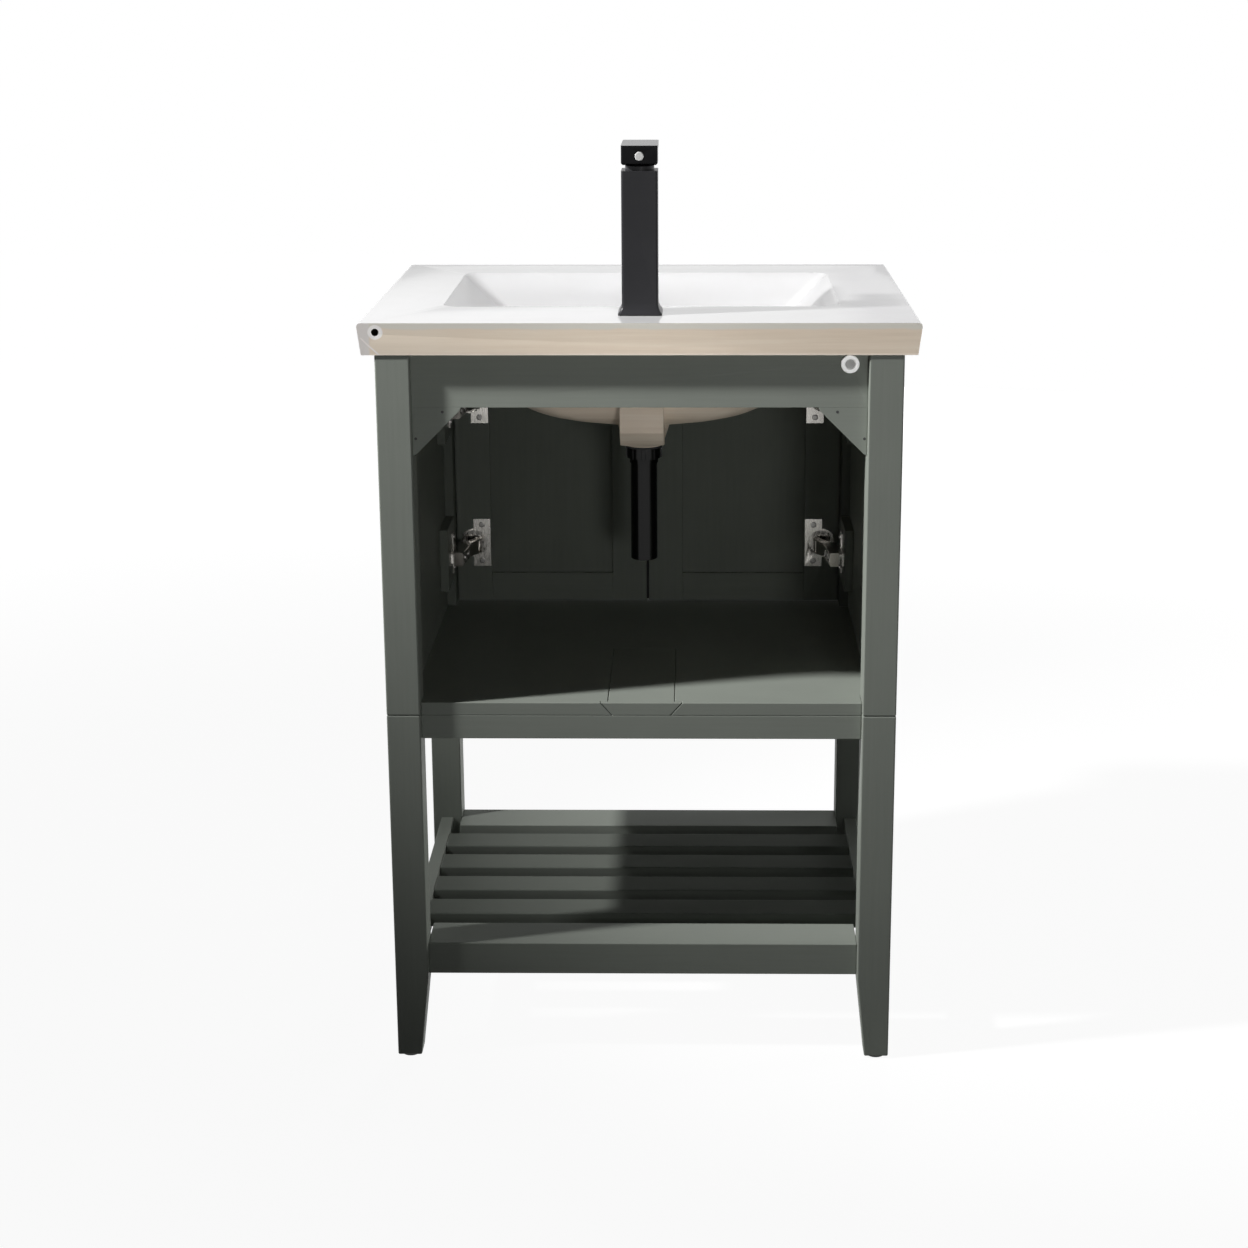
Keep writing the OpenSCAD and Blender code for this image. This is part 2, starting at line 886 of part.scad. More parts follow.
module leg_dowels() {
    color([0.76, 0.62, 0.42])
    for (side = [-1, 1], front = [false, true])
        leg_at(side, front)
            translate([0, 0, split_z - dowel_len / 2])
                cylinder(h = dowel_len, d = dowel_d);
}

module foot_glides() {
    color([0.25, 0.25, 0.25])
    for (side = [-1, 1], front = [false, true])
        leg_at(side, front)
            translate([leg_s / 2 - foot_s / 2, leg_s / 2 - foot_s / 2, 0]) {
                cylinder(h = glide_t, d = foot_s - 6);
                cylinder(h = glide_pin_l, r = glide_pin_r, $fn = 24);
            }
}

module back_top_rail() {
    color(paint)
    difference() {
        block([-leg_in_x, rail_back_y - rail_t, deck_z - back_rail_h], [leg_in_x, rail_back_y, deck_z]);
        translate([-leg_in_x + cap_in, rail_back_y + cut, cap_z])
            rotate([90, 0, 0])
                cylinder(h = 12 + cut + slip, r = 4 + slip);
    }
}

cap_z = deck_z - 11.5;

module back_gussets() {
    low = deck_z - back_rail_h;
    color(paint)
    for (side = [-1, 1])
        translate([side * leg_in_x, rail_back_y, low])
            mirror([side > 0 ? 1 : 0, 0, 0])
                rotate([90, 0, 0])
                    linear_extrude(rail_t)
                        polygon([[0, 0], [gusset_s, 0], [gusset_s - 2, -4],
                            [4, 2 - gusset_s], [0, -gusset_s]]);
}

module rail_cap() {
    color(white)
    translate([-leg_in_x + cap_in, rail_back_y, cap_z])
        rotate([90, 0, 0])
            difference() {
                union() {
                    cylinder(h = 12, r = 4);
                    translate([0, 0, -2.5])
                        cylinder(h = 2.5, d = cap_d);
                    translate([0, 0, -4])
                        cylinder(h = 1.5, r1 = cap_d / 2 - 1.5, r2 = cap_d / 2);
                }
                translate([0, 0, -4 - cut])
                    cylinder(h = 2 + cut, r = 3.5);
            }
}

module front_top_rail() {
    color(paint)
    block([-leg_in_x, door_front_y, deck_z - front_rail_h], [leg_in_x, door_front_y + rail_t, deck_z]);
}

module side_panel(side) {
    color(paint)
    mirror([side > 0 ? 0 : 1, 0, 0])
        block([panel_x, leg_front_y + leg_s, frame_low_z], [panel_x + panel_t, leg_back_y - leg_s, deck_z]);
}

module left_side_panel() {
    side_panel(-1);
}

module right_side_panel() {
    side_panel(1);
}

// half width of the insert's flared lip at a height
function lip_half(z) =
    insert_w / 2 - insert_rebate + (insert_flare + insert_rebate) * (z - floor_low_z) / floor_t;

// floor insert with a flared lip at the back and a tongue that rests on ledges,
// grown by g sideways and by more past the floor's faces
module insert_shape(g, more) {
    w = insert_w / 2 + g;
    low_w = w - insert_rebate;
    front = rail_back_y - insert_len - g;
    inside = rail_back_y - insert_lip / 2;
    high = floor_z + more;
    low = floor_low_z - more;
    translate([0, rail_back_y + more, 0])
        rotate([90, 0, 0])
            linear_extrude(insert_lip + g + more)
                polygon([[-lip_half(high) - g, high], [-lip_half(low) - g, low],
                    [lip_half(low) + g, low], [lip_half(high) + g, high]]);
    block([-w, front, floor_z - insert_step], [w, inside, high]);
    block([-low_w, front + insert_rebate, low], [low_w, inside, floor_z - insert_step + cut]);
}

module cabinet_floor() {
    front = door_front_y + rail_t;
    color(paint)
    difference() {
        block([-panel_x, front, floor_low_z], [panel_x, rail_back_y, floor_z]);
        for (side = [-1, 1])
            mirror([side > 0 ? 0 : 1, 0, 0]) {
                block([leg_in_x, leg_back_y - leg_s, 0], [panel_x + cut, leg_back_y, total_h]);
                block([leg_in_x, leg_front_y, 0], [panel_x + cut, leg_front_y + leg_s, total_h]);
            }
        insert_shape(insert_gap, cut);
    }
}

module floor_insert() {
    color(paint)
    insert_shape(0, 0);
}

module back_bottom_rail() {
    color(paint)
    block([-leg_in_x, rail_back_y - rail_t, frame_low_z], [leg_in_x, rail_back_y, floor_low_z]);
}

module front_bottom_rail() {
    color(paint)
    block([-leg_in_x, door_front_y, frame_low_z], [leg_in_x, door_front_y + rail_t, floor_z]);
}

module shelf_back_rail() {
    color(paint)
    block([-leg_in_x, rail_back_y - shelf_rail_d, shelf_low_z], [leg_in_x, rail_back_y, shelf_z]);
}

module shelf_front_rail() {
    front = leg_front_y + rail_in;
    color(paint)
    block([-leg_in_x, front, shelf_low_z], [leg_in_x, front + shelf_rail_d, shelf_z]);
}

module shelf_side_rail(side) {
    color(paint)
    mirror([side > 0 ? 0 : 1, 0, 0])
        block([panel_x, leg_front_y + leg_s, shelf_low_z], [panel_x + panel_t, leg_back_y - leg_s, shelf_z]);
}

module shelf_left_rail() {
    shelf_side_rail(-1);
}

module shelf_right_rail() {
    shelf_side_rail(1);
}

module shelf_slats() {
    low_y = leg_front_y + rail_in + shelf_rail_d;
    span = rail_back_y - shelf_rail_d - low_y;
    gap = (span - slat_n * slat_w) / (slat_n + 1);
    color(paint)
    for (i = [0:slat_n - 1]) {
        y = low_y + gap + i * (slat_w + gap);
        block([-panel_x, y, shelf_z - slat_t], [panel_x, y + slat_w, shelf_z]);
    }
}

// local frame of a door: x from the hinge edge to the free edge, y from its front face inwards
module door_side(side) {
    translate([side * door_edge_x, door_front_y, 0])
        mirror([side > 0 ? 1 : 0, 0, 0])
            children();
}

door_w = door_edge_x - door_mid_gap / 2;
groove_low_v = (door_t - door_panel_t) / 2;

module panel_groove() {
    g = groove_gap;
    block([stile_w - groove_d - g, groove_low_v - g, door_low_z + door_rail_h - groove_d - g],
        [door_w - stile_w + groove_d + g, groove_low_v + door_panel_t + g,
            door_high_z - door_rail_h + groove_d + g]);
}

module door_stiles(side) {
    color(paint)
    door_side(side)
    difference() {
        union() {
            block([0, 0, door_low_z], [stile_w, door_t, door_high_z]);
            block([door_w - stile_w, 0, door_low_z], [door_w, door_t, door_high_z]);
        }
        panel_groove();
        for (z = hinge_z)
            translate([cup_in, door_t + cut, z])
                rotate([90, 0, 0])
                    cylinder(h = cup_depth + cut + slip, d = cup_d + 2 * slip);
    }
}

module door_rails(side) {
    color(paint)
    door_side(side)
    difference() {
        union() {
            block([stile_w, 0, door_low_z], [door_w - stile_w, door_t, door_low_z + door_rail_h]);
            block([stile_w, 0, door_high_z - door_rail_h], [door_w - stile_w, door_t, door_high_z]);
        }
        panel_groove();
        for (z = hinge_z)
            translate([cup_in, door_t + cut, z])
                rotate([90, 0, 0])
                    cylinder(h = cup_depth + cut + slip, d = cup_d + 2 * slip);
    }
}

module door_panel(side) {
    color(paint)
    door_side(side)
    difference() {
        block([stile_w - groove_d, groove_low_v, door_low_z + door_rail_h - groove_d],
            [door_w - stile_w + groove_d, groove_low_v + door_panel_t,
                door_high_z - door_rail_h + groove_d]);
        for (z = hinge_z)
            translate([cup_in, door_t + cut, z])
                rotate([90, 0, 0])
                    cylinder(h = cup_depth + cut + slip, d = cup_d + 2 * slip);
    }
}

module door_knob(side) {
    color(black)
    door_side(side)
        translate([door_w - stile_w / 2, 0, knob_z])
            rotate([90, 0, 0])
                rotate_extrude()
                    polygon([[0, 0], [7, 0], [5, 4], [5, knob_out - 12], [knob_d / 2 - 1, knob_out - 9],
                        [knob_d / 2, knob_out - 7], [knob_d / 2, knob_out - 1.5],
                        [knob_d / 2 - 1.5, knob_out], [0, knob_out]]);
}

module left_door_stiles() {
    door_stiles(-1);
}

module left_door_rails() {
    door_rails(-1);
}

module left_door_panel() {
    door_panel(-1);
}

module left_door_knob() {
    door_knob(-1);
}

module right_door_stiles() {
    door_stiles(1);
}

module right_door_rails() {
    door_rails(1);
}

module right_door_panel() {
    door_panel(1);
}

module right_door_knob() {
    door_knob(1);
}

// hinge cup with its screw plate and the pin that the link turns on
module hinge_cup() {
    r = cup_d / 2;
    half_pin = sqrt(pow(r - cup_wall, 2) - pow(cup_in - cup_pin[0], 2)) + 0.4;
    difference() {
        union() {
            translate([cup_in, door_t, 0])
                rotate([90, 0, 0])
                    cylinder(h = cup_depth, r = r);
            difference() {
                translate([cup_in, door_t + cup_plate_t, 0])
                    rotate([90, 0, 0])
                        cylinder(h = cup_plate_t, r = r + 1.5);
                block([-1, 0, -r - 3], [cup_in - r + 2, door_t + 2, r + 3]);
            }
            translate([cup_in + 9.5 - cup_plate_w / 2, door_t, -cup_plate_h / 2])
                cube([cup_plate_w, cup_plate_t, cup_plate_h]);
        }
        translate([cup_in, door_t + cup_plate_t + cut, 0])
            rotate([90, 0, 0])
                cylinder(h = cup_depth + cup_plate_t - cup_wall + cut, r = r - cup_wall);
        for (z = [-24, 24])
            translate([cup_in + 9.5, door_t - cut, z])
                rotate([-90, 0, 0])
                    cylinder(h = 4, r = 2.4, $fn = 24);
    }
    translate([cup_pin[0], cup_pin[1], -half_pin])
        cylinder(h = 2 * half_pin, d = pin_d, $fn = 24);
}

module hinge_cups(side) {
    color(nickel)
    door_side(side)
        for (z = hinge_z)
            translate([0, 0, z])
                hinge_cup();
}

module left_hinge_cups() {
    hinge_cups(-1);
}

module right_hinge_cups() {
    hinge_cups(1);
}

// sheet link: a gooseneck strip with a rolled knuckle at each end
link_path = [[12, 9.1], [21.6, 8.6], [28.2, 13.6], [31.6, 21], [30.6, 29.6]];

module hinge_link() {
    difference() {
        linear_extrude(link_w, center = true) {
            for (i = [0:len(link_path) - 2]) {
                a = link_path[i];
                b = link_path[i + 1];
                d = b - a;
                translate(a)
                    rotate(atan2(d[1], d[0])) {
                        translate([0, -link_t / 2])
                            square([norm(d), link_t]);
                        circle(d = link_t, $fn = 16);
                    }
            }
            translate(cup_pin)
                circle(knuckle_r, $fn = 32);
            translate(arm_pin)
                circle(knuckle_r + 0.6, $fn = 32);
        }
        for (p = [cup_pin, arm_pin])
            translate([p[0], p[1], -link_w])
                cylinder(h = 2 * link_w, r = pin_d / 2 + run, $fn = 32);
    }
}

module hinge_links(side) {
    color(nickel)
    door_side(side)
        for (z = hinge_z)
            translate([0, 0, z])
                hinge_link();
}

module left_hinge_links() {
    hinge_links(-1);
}

module right_hinge_links() {
    hinge_links(1);
}

// cranked arm: two cheeks that hold the link's pin, joined by a web behind it
module hinge_arm() {
    low_u = block_face_u + plate_t + ridge_h;
    inner = link_w / 2 + 0.3;
    nose = [[low_u, 52], [16, 44], [25.4, 27.6], [29, 26.8], [33, 29], [33, 34], [24, 50], [20, 60],
        [15, arm_back_v], [low_u, arm_back_v]];
    web = [[low_u, 62], [19, 56], [23, 49], [27, 41.8], [29.4, 43.2], [25, 51], [20.6, 60],
        [16, arm_back_v], [low_u, arm_back_v]];
    for (s = [-1, 1])
        translate([0, 0, s > 0 ? inner : -inner - cheek_t])
            linear_extrude(cheek_t)
                polygon(nose);
    linear_extrude(2 * inner, center = true)
        difference() {
            polygon(web);
            polygon([[low_u - cut, 66], [17, 60.5], [13.4, arm_back_v - 2], [low_u - cut, arm_back_v - 2]]);
        }
    translate([arm_pin[0], arm_pin[1], -inner - cheek_t])
        cylinder(h = 2 * (inner + cheek_t), d = pin_d, $fn = 24);
}

module hinge_arms() {
    color(nickel)
    for (side = [-1, 1], z = hinge_z)
        door_side(side)
            translate([0, 0, z])
                hinge_arm();
}

// mounting plate: two screw wings and a ridge under the arm
module hinge_plate() {
    v0 = block_front_v + 20;
    difference() {
        union() {
            block([block_face_u, v0, -26], [block_face_u + plate_t, v0 + 18, 26]);
            block([block_face_u, v0 - 6, -8.5], [block_face_u + plate_t, arm_back_v, 8.5]);
            block([block_face_u, v0 - 2, -6], [block_face_u + plate_t + ridge_h, arm_back_v - 2, 6]);
        }
        for (z = [-20, 20])
            translate([block_face_u - cut, v0 + 9, z])
                rotate([0, 90, 0])
                    cylinder(h = 6, r = 2.4, $fn = 24);
    }
}

module hinge_plates() {
    color(nickel)
    for (side = [-1, 1], z = hinge_z)
        door_side(side)
            translate([0, 0, z])
                hinge_plate();
}

module hinge_blocks() {
    color(paint)
    for (side = [-1, 1], z = hinge_z)
        door_side(side)
            block([panel_face_u, block_front_v, z - block_h / 2],
                [block_face_u, block_front_v + block_d, z + block_h / 2]);
}

basin_top();
faucet_body();
faucet_spout();
faucet_aerator();
faucet_gasket();
faucet_cartridge();
cartridge_nut();
cartridge_carrier();
lever_stem();
faucet_handle();
handle_plug();
handle_screw();
mounting_shank();
mounting_nut();
drain_flange_body();
drain_gasket();
drain_nut();
drain_tailpiece();
drain_stopper();
back_left_post();
back_right_post();
front_left_post();
front_right_post();
back_left_leg();
back_right_leg();
front_left_leg();
front_right_leg();
leg_dowels();
foot_glides();
back_top_rail();
back_gussets();
rail_cap();
front_top_rail();
left_side_panel();
right_side_panel();
cabinet_floor();
floor_insert();
back_bottom_rail();
front_bottom_rail();
shelf_back_rail();
shelf_front_rail();
shelf_left_rail();
shelf_right_rail();
shelf_slats();
left_door_stiles();
left_door_rails();
left_door_panel();
left_door_knob();
right_door_stiles();
right_door_rails();
right_door_panel();
right_door_knob();
left_hinge_cups();
right_hinge_cups();
left_hinge_links();
right_hinge_links();
hinge_arms();
hinge_plates();
hinge_blocks();
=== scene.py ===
# Bathroom vanity unit, seen from its open back
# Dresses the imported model, lights it and aims the camera
import json
import math

import bpy
from mathutils import Matrix, Vector


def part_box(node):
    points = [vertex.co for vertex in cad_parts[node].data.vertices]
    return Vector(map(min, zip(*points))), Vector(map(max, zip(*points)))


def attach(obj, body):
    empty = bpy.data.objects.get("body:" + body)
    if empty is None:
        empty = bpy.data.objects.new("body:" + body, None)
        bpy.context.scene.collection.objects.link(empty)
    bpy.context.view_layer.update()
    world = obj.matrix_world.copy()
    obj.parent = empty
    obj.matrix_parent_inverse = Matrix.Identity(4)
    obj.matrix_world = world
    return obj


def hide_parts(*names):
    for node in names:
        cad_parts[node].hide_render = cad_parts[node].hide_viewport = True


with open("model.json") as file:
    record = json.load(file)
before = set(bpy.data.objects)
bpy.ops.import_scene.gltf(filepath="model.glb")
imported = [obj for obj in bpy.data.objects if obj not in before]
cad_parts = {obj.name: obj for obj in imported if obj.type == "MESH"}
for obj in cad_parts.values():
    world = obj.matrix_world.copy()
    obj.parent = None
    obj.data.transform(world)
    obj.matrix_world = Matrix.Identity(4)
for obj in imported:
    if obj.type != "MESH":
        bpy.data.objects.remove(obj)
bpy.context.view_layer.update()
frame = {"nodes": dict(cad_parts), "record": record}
mm = 0.001
nodes = frame["nodes"]
bodyMembers = frame["record"]["behaviour"]["bodies"]
bodyOf = {node: body for body, members in bodyMembers.items() for node in members}
print("frame loaded:", len(nodes), "nodes")

view = {
    # from behind and a little above, as in the photograph
    "place": (-0.0549, 2.5443, 1.2460),
    "turn": 0.0141,  # to the side, in radians
    "tilt": 0.2424,  # downwards
    "roll": -0.0029,
    "lens": 62.566,
    "sensor": 36,
    "shift": (-0.029, -0.10),
    "farthest": 50,
}
bpy.ops.object.camera_add()
camera = bpy.context.object
camera.name = "viewCamera"
camera.data.lens = view["lens"]
camera.data.sensor_width = view["sensor"]
camera.data.shift_x, camera.data.shift_y = view["shift"]
camera.data.clip_end = view["farthest"]
camera.matrix_world = (
    Matrix.Translation(view["place"])
    @ Matrix.Rotation(math.pi + view["turn"], 4, "Z")
    @ Matrix.Rotation(math.pi / 2 - view["tilt"], 4, "X")
    @ Matrix.Rotation(view["roll"], 4, "Z")
)
bpy.context.scene.camera = camera
bpy.context.scene.view_settings.view_transform = "Standard"


def addLamp(name, kind, place, aim, power, size, cone):
    # area lamps only fill the shade, so nothing mirrors them
    bpy.ops.object.light_add(type=kind, location=place)
    lamp = bpy.context.object
    lamp.name = name
    lamp.rotation_euler = (Vector(aim) - Vector(place)).to_track_quat("-Z", "Y").to_euler()
    lamp.data.energy = power
    if kind == "SPOT":
        lamp.data.shadow_soft_size = size
        lamp.data.spot_size = math.radians(cone)
        lamp.data.spot_blend = 1.0
    else:
        lamp.data.shape = "DISK"
        lamp.data.size = size
        lamp.visible_glossy = False


keyPlace = (2.337, 0.759, 2.592)  # high on the picture's left, where the shadows inside point back to
lowPlace = (-0.72, 3.35, 0.55)  # behind the open back, lower than the camera
lampSet = {
    # kind, place, aim, power in watts, size in metres, cone in degrees
    "keyLamp": ("SPOT", keyPlace, (-0.01, 0, 0.84), 700, 0.09, 30),
    "topKey": ("SPOT", keyPlace, (-0.06, 0.02, 0.86), 255, 0.09, 19),
    "topFill": ("AREA", (-0.1, 1.5, 3.0), (0, 0.1, 0.86), 40, 1.0, 0),
    "cameraFill": ("SPOT", (-0.72, 3.35, 1.02), (0, 0, 0.76), 26, 0.24, 30),
    "frameFill": ("SPOT", lowPlace, (0, 0, 0.80), 45, 0.24, 30),
    "slatKey": ("SPOT", keyPlace, (-0.01, 0, 0.84), 420, 0.09, 30),
    "capFill": ("SPOT", lowPlace, (-0.2, 0.23, 0.81), 230, 0.24, 10),
    "hingeGlint": ("SPOT", (0.35, 3.2, 0.95), (0, -0.1, 0.61), 90, 0.03, 14),
    "basinFill": ("SPOT", (-0.10, 2.9, 1.1), (0, 0.10, 0.735), 38, 0.05, 8),
    "frontFill": ("AREA", (-0.8, -3.9, 0.5), (0, 0, 0.5), 60, 0.9, 0),
    "rightFill": ("AREA", (-3.1, -0.6, 0.5), (0, 0, 0.5), 26, 0.9, 0),
}
for lampName, lampFacts in lampSet.items():
    addLamp(lampName, *lampFacts)

# the air is dim for the object, and white for the camera, for gloss and through glass
airSpec = {"soft": 0.018, "colour": (0.94, 0.97, 1.0), "white": 1.0}
world = bpy.data.worlds.new("studioAir")
bpy.context.scene.world = world
world.use_nodes = True
air = world.node_tree
air.nodes.clear()
airOut = air.nodes.new("ShaderNodeOutputWorld")
airMix = air.nodes.new("ShaderNodeMixShader")
airRays = air.nodes.new("ShaderNodeLightPath")
airSoft = air.nodes.new("ShaderNodeBackground")
airSoft.inputs["Color"].default_value = (*airSpec["colour"], 1)
airSoft.inputs["Strength"].default_value = airSpec["soft"]
airWhite = air.nodes.new("ShaderNodeBackground")
airWhite.inputs["Color"].default_value = (1, 1, 1, 1)
airWhite.inputs["Strength"].default_value = airSpec["white"]
airSeen = airRays.outputs["Is Camera Ray"]
for rayKind in ("Is Glossy Ray", "Is Transmission Ray"):
    either = air.nodes.new("ShaderNodeMath")
    either.operation = "MAXIMUM"
    air.links.new(airSeen, either.inputs[0])
    air.links.new(airRays.outputs[rayKind], either.inputs[1])
    airSeen = either.outputs[0]
air.links.new(airSeen, airMix.inputs["Fac"])
air.links.new(airSoft.outputs[0], airMix.inputs[1])
air.links.new(airWhite.outputs[0], airMix.inputs[2])
air.links.new(airMix.outputs[0], airOut.inputs["Surface"])
print("camera and lamps ready")


class Finish:
    # a small helper round one material's nodes
    def __init__(self, name):
        self.material = bpy.data.materials.new(name)
        self.material.use_nodes = True
        self.tree = self.material.node_tree
        self.shader = self.tree.nodes["Principled BSDF"]
        self.place = self.tree.nodes.new("ShaderNodeTexCoord").outputs["Object"]

    def add(self, kind, **values):
        # sets each value on the node's socket of that name, or else on the node itself
        node = self.tree.nodes.new(kind)
        for key, value in values.items():
            if key in node.inputs:
                node.inputs[key].default_value = value
            else:
                setattr(node, key, value)
        return node

    def link(self, source, target):
        self.tree.links.new(source, target)

    def feed(self, socket, value):
        # a colour, a number or another node's output
        if isinstance(value, tuple):
            socket.default_value = (*value, 1)
        elif isinstance(value, (int, float)):
            socket.default_value = value
        else:
            self.link(value, socket)

    def set(self, **values):
        for key, value in values.items():
            self.feed(self.shader.inputs[key.replace("_", " ")], value)

    def axes(self):
        node = self.add("ShaderNodeSeparateXYZ")
        self.link(self.place, node.inputs[0])
        return node.outputs

    def noise(self, scale, detail, stretch=(1, 1, 1), rough=0.55):
        # a stretch below 1 draws the pattern out along that axis
        mapping = self.add("ShaderNodeMapping", Scale=stretch)
        self.link(self.place, mapping.inputs["Vector"])
        node = self.add("ShaderNodeTexNoise", Scale=scale, Detail=detail, Roughness=rough)
        self.link(mapping.outputs["Vector"], node.inputs["Vector"])
        return node.outputs["Fac"]

    def ramp(self, value, stops):
        node = self.add("ShaderNodeValToRGB")
        self.link(value, node.inputs["Fac"])
        band = node.color_ramp
        while len(band.elements) < len(stops):
            band.elements.new(0.5)
        for element, (spot, colour) in zip(band.elements, stops):
            element.position = spot
            element.color = (*colour, 1)
        return node.outputs["Color"]

    def math(self, kind, *values):
        node = self.add("ShaderNodeMath", operation=kind)
        for socket, value in zip(node.inputs, values):
            self.feed(socket, value)
        return node.outputs[0]

    def between(self, value, low, high, start=0.0, end=1.0):
        # start below low, end above high, smooth in between
        limits = {"From Min": low, "From Max": high, "To Min": start, "To Max": end}
        node = self.add("ShaderNodeMapRange", interpolation_type="SMOOTHSTEP", **limits)
        self.link(value, node.inputs["Value"])
        return node.outputs["Result"]

    def mixed(self, share, first, second, blend="MIX"):
        # 0, 6, 7 and 2 are the factor, the two colours and the result of a colour mix
        node = self.add("ShaderNodeMix", data_type="RGBA", blend_type=blend)
        for spot, value in ((0, share), (6, first), (7, second)):
            self.feed(node.inputs[spot], value)
        return node.outputs[2]

    def bump(self, heights):
        # heights: list of (height output, distance in metres, strength)
        last = None
        for height, distance, strength in heights:
            node = self.add("ShaderNodeBump", Distance=distance, Strength=strength)
            self.link(height, node.inputs["Height"])
            if last:
                self.link(last, node.inputs["Normal"])
            last = node.outputs["Normal"]
        self.link(last, self.shader.inputs["Normal"])


def paintFinish(name, grain, sheen=0.14, litLift=1.0):
    # satin paint over wood: fine grain drawn out along one axis, and a slight roller texture
    paint = {
        "dark": (0.246, 0.265, 0.236),
        "light": (0.267, 0.288, 0.255),
        "groove": (0.93, 0.935, 0.93),
        "grooveShare": 0.6,
        "rough": (0.44, 0.58),
        "grooveDepth": 0.00025,  # metres
        "rollerDepth": 0.0001,
    }
    # the lift brightens both colours: painted light, for a copy shown as more brightly lit
    dark, light = (tuple(part * litLift for part in paint[shade]) for shade in ("dark", "light"))
    finish = Finish(name)
    along = {"X": (0.035, 1, 1), "Y": (1, 0.035, 1), "Z": (1, 1, 0.035)}[grain]
    lines = finish.noise(260, 5, along, 0.6)
    clouds = finish.noise(6, 3)
    roller = finish.noise(900, 2)
    tone = finish.ramp(clouds, [(0.3, dark), (0.7, light)])
    grainTone = finish.ramp(lines, [(0.35, paint["groove"]), (0.6, (1, 1, 1))])
    finish.set(
        Base_Color=finish.mixed(paint["grooveShare"], tone, grainTone, "MULTIPLY"),
        Roughness=finish.between(lines, 0.2, 0.8, *paint["rough"]),
        Specular_IOR_Level=sheen,
    )
    finish.bump([(lines, paint["grooveDepth"], 0.3), (roller, paint["rollerDepth"], 0.2)])
    return finish.material


def plainFinish(name, low, high, rough, metallic=0.0, specular=0.5, stretch=(1, 1, 1), depth=0.00008):
    # one colour with slight clouds, a fine surface and a roughness that varies; depth in metres
    finish = Finish(name)
    clouds = finish.noise(14, 3)
    fine = finish.noise(980, 3, stretch)
    finish.set(
        Base_Color=finish.ramp(clouds, [(0.3, low), (0.7, high)]),
        Roughness=finish.between(fine, 0.2, 0.8, *rough),
        Metallic=metallic,
        Specular_IOR_Level=specular,
    )
    finish.bump([(fine, depth, 0.4)])
    return finish.material


topPiece = {
    # the ceramic top, in metres
    "backY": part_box("basin_top")[1].y,
    "deckUnder": 0.835,
    "bowlHalf": 0.23,
    "bowlLow": 0.79,
    "vent": (0.285, 0.860),  # hole in the back edge: across and up
    "ventRadius": 0.0046,
}


def glazeFinish():
    # white glaze, a hair uneven, with painted shade towards the picture's right end: a greyer tone and
    # faint grey streaks
    glazed = {
        "warm": (0.85, 0.845, 0.845),
        "white": (0.87, 0.868, 0.874),
        "paintedShadeGrey": (0.73, 0.722, 0.735),
        "paintedShadeX": (-0.27, -0.21),  # metres, from wholly painted shade to none
        "grey": (0.68, 0.67, 0.69),
        "shadeStreakX": (-0.30, -0.17),
        "shadeStreakShare": 0.22,
        "rough": (0.10, 0.16),
        "shine": 0.22,
    }
    finish = Finish("glazedWhite")
    x = finish.axes()["X"]
    soft = finish.noise(9, 2)
    specks = finish.noise(420, 2)
    # grey streaks of painted shadow near the picture's right end
    shadeStreaks = finish.between(finish.noise(16, 3, (0.25, 1, 1), 0.6), 0.5, 0.62)
    shadeStreakEnd = finish.between(x, *glazed["shadeStreakX"], glazed["shadeStreakShare"], 0.0)
    tone = finish.ramp(soft, [(0.3, glazed["warm"]), (0.7, glazed["white"])])
    # a greyer tone of painted shade at the picture's right end
    tone = finish.mixed(finish.between(x, *glazed["paintedShadeX"], 1.0, 0.0), tone, glazed["paintedShadeGrey"])
    finish.set(
        Base_Color=finish.mixed(finish.math("MULTIPLY", shadeStreaks, shadeStreakEnd), tone, glazed["grey"]),
        Roughness=finish.between(soft, 0.3, 0.7, *glazed["rough"]),
        Specular_IOR_Level=glazed["shine"],
    )
    finish.bump([(soft, 0.0012, 0.15), (specks, 0.00003, 0.1)])
    return finish.material


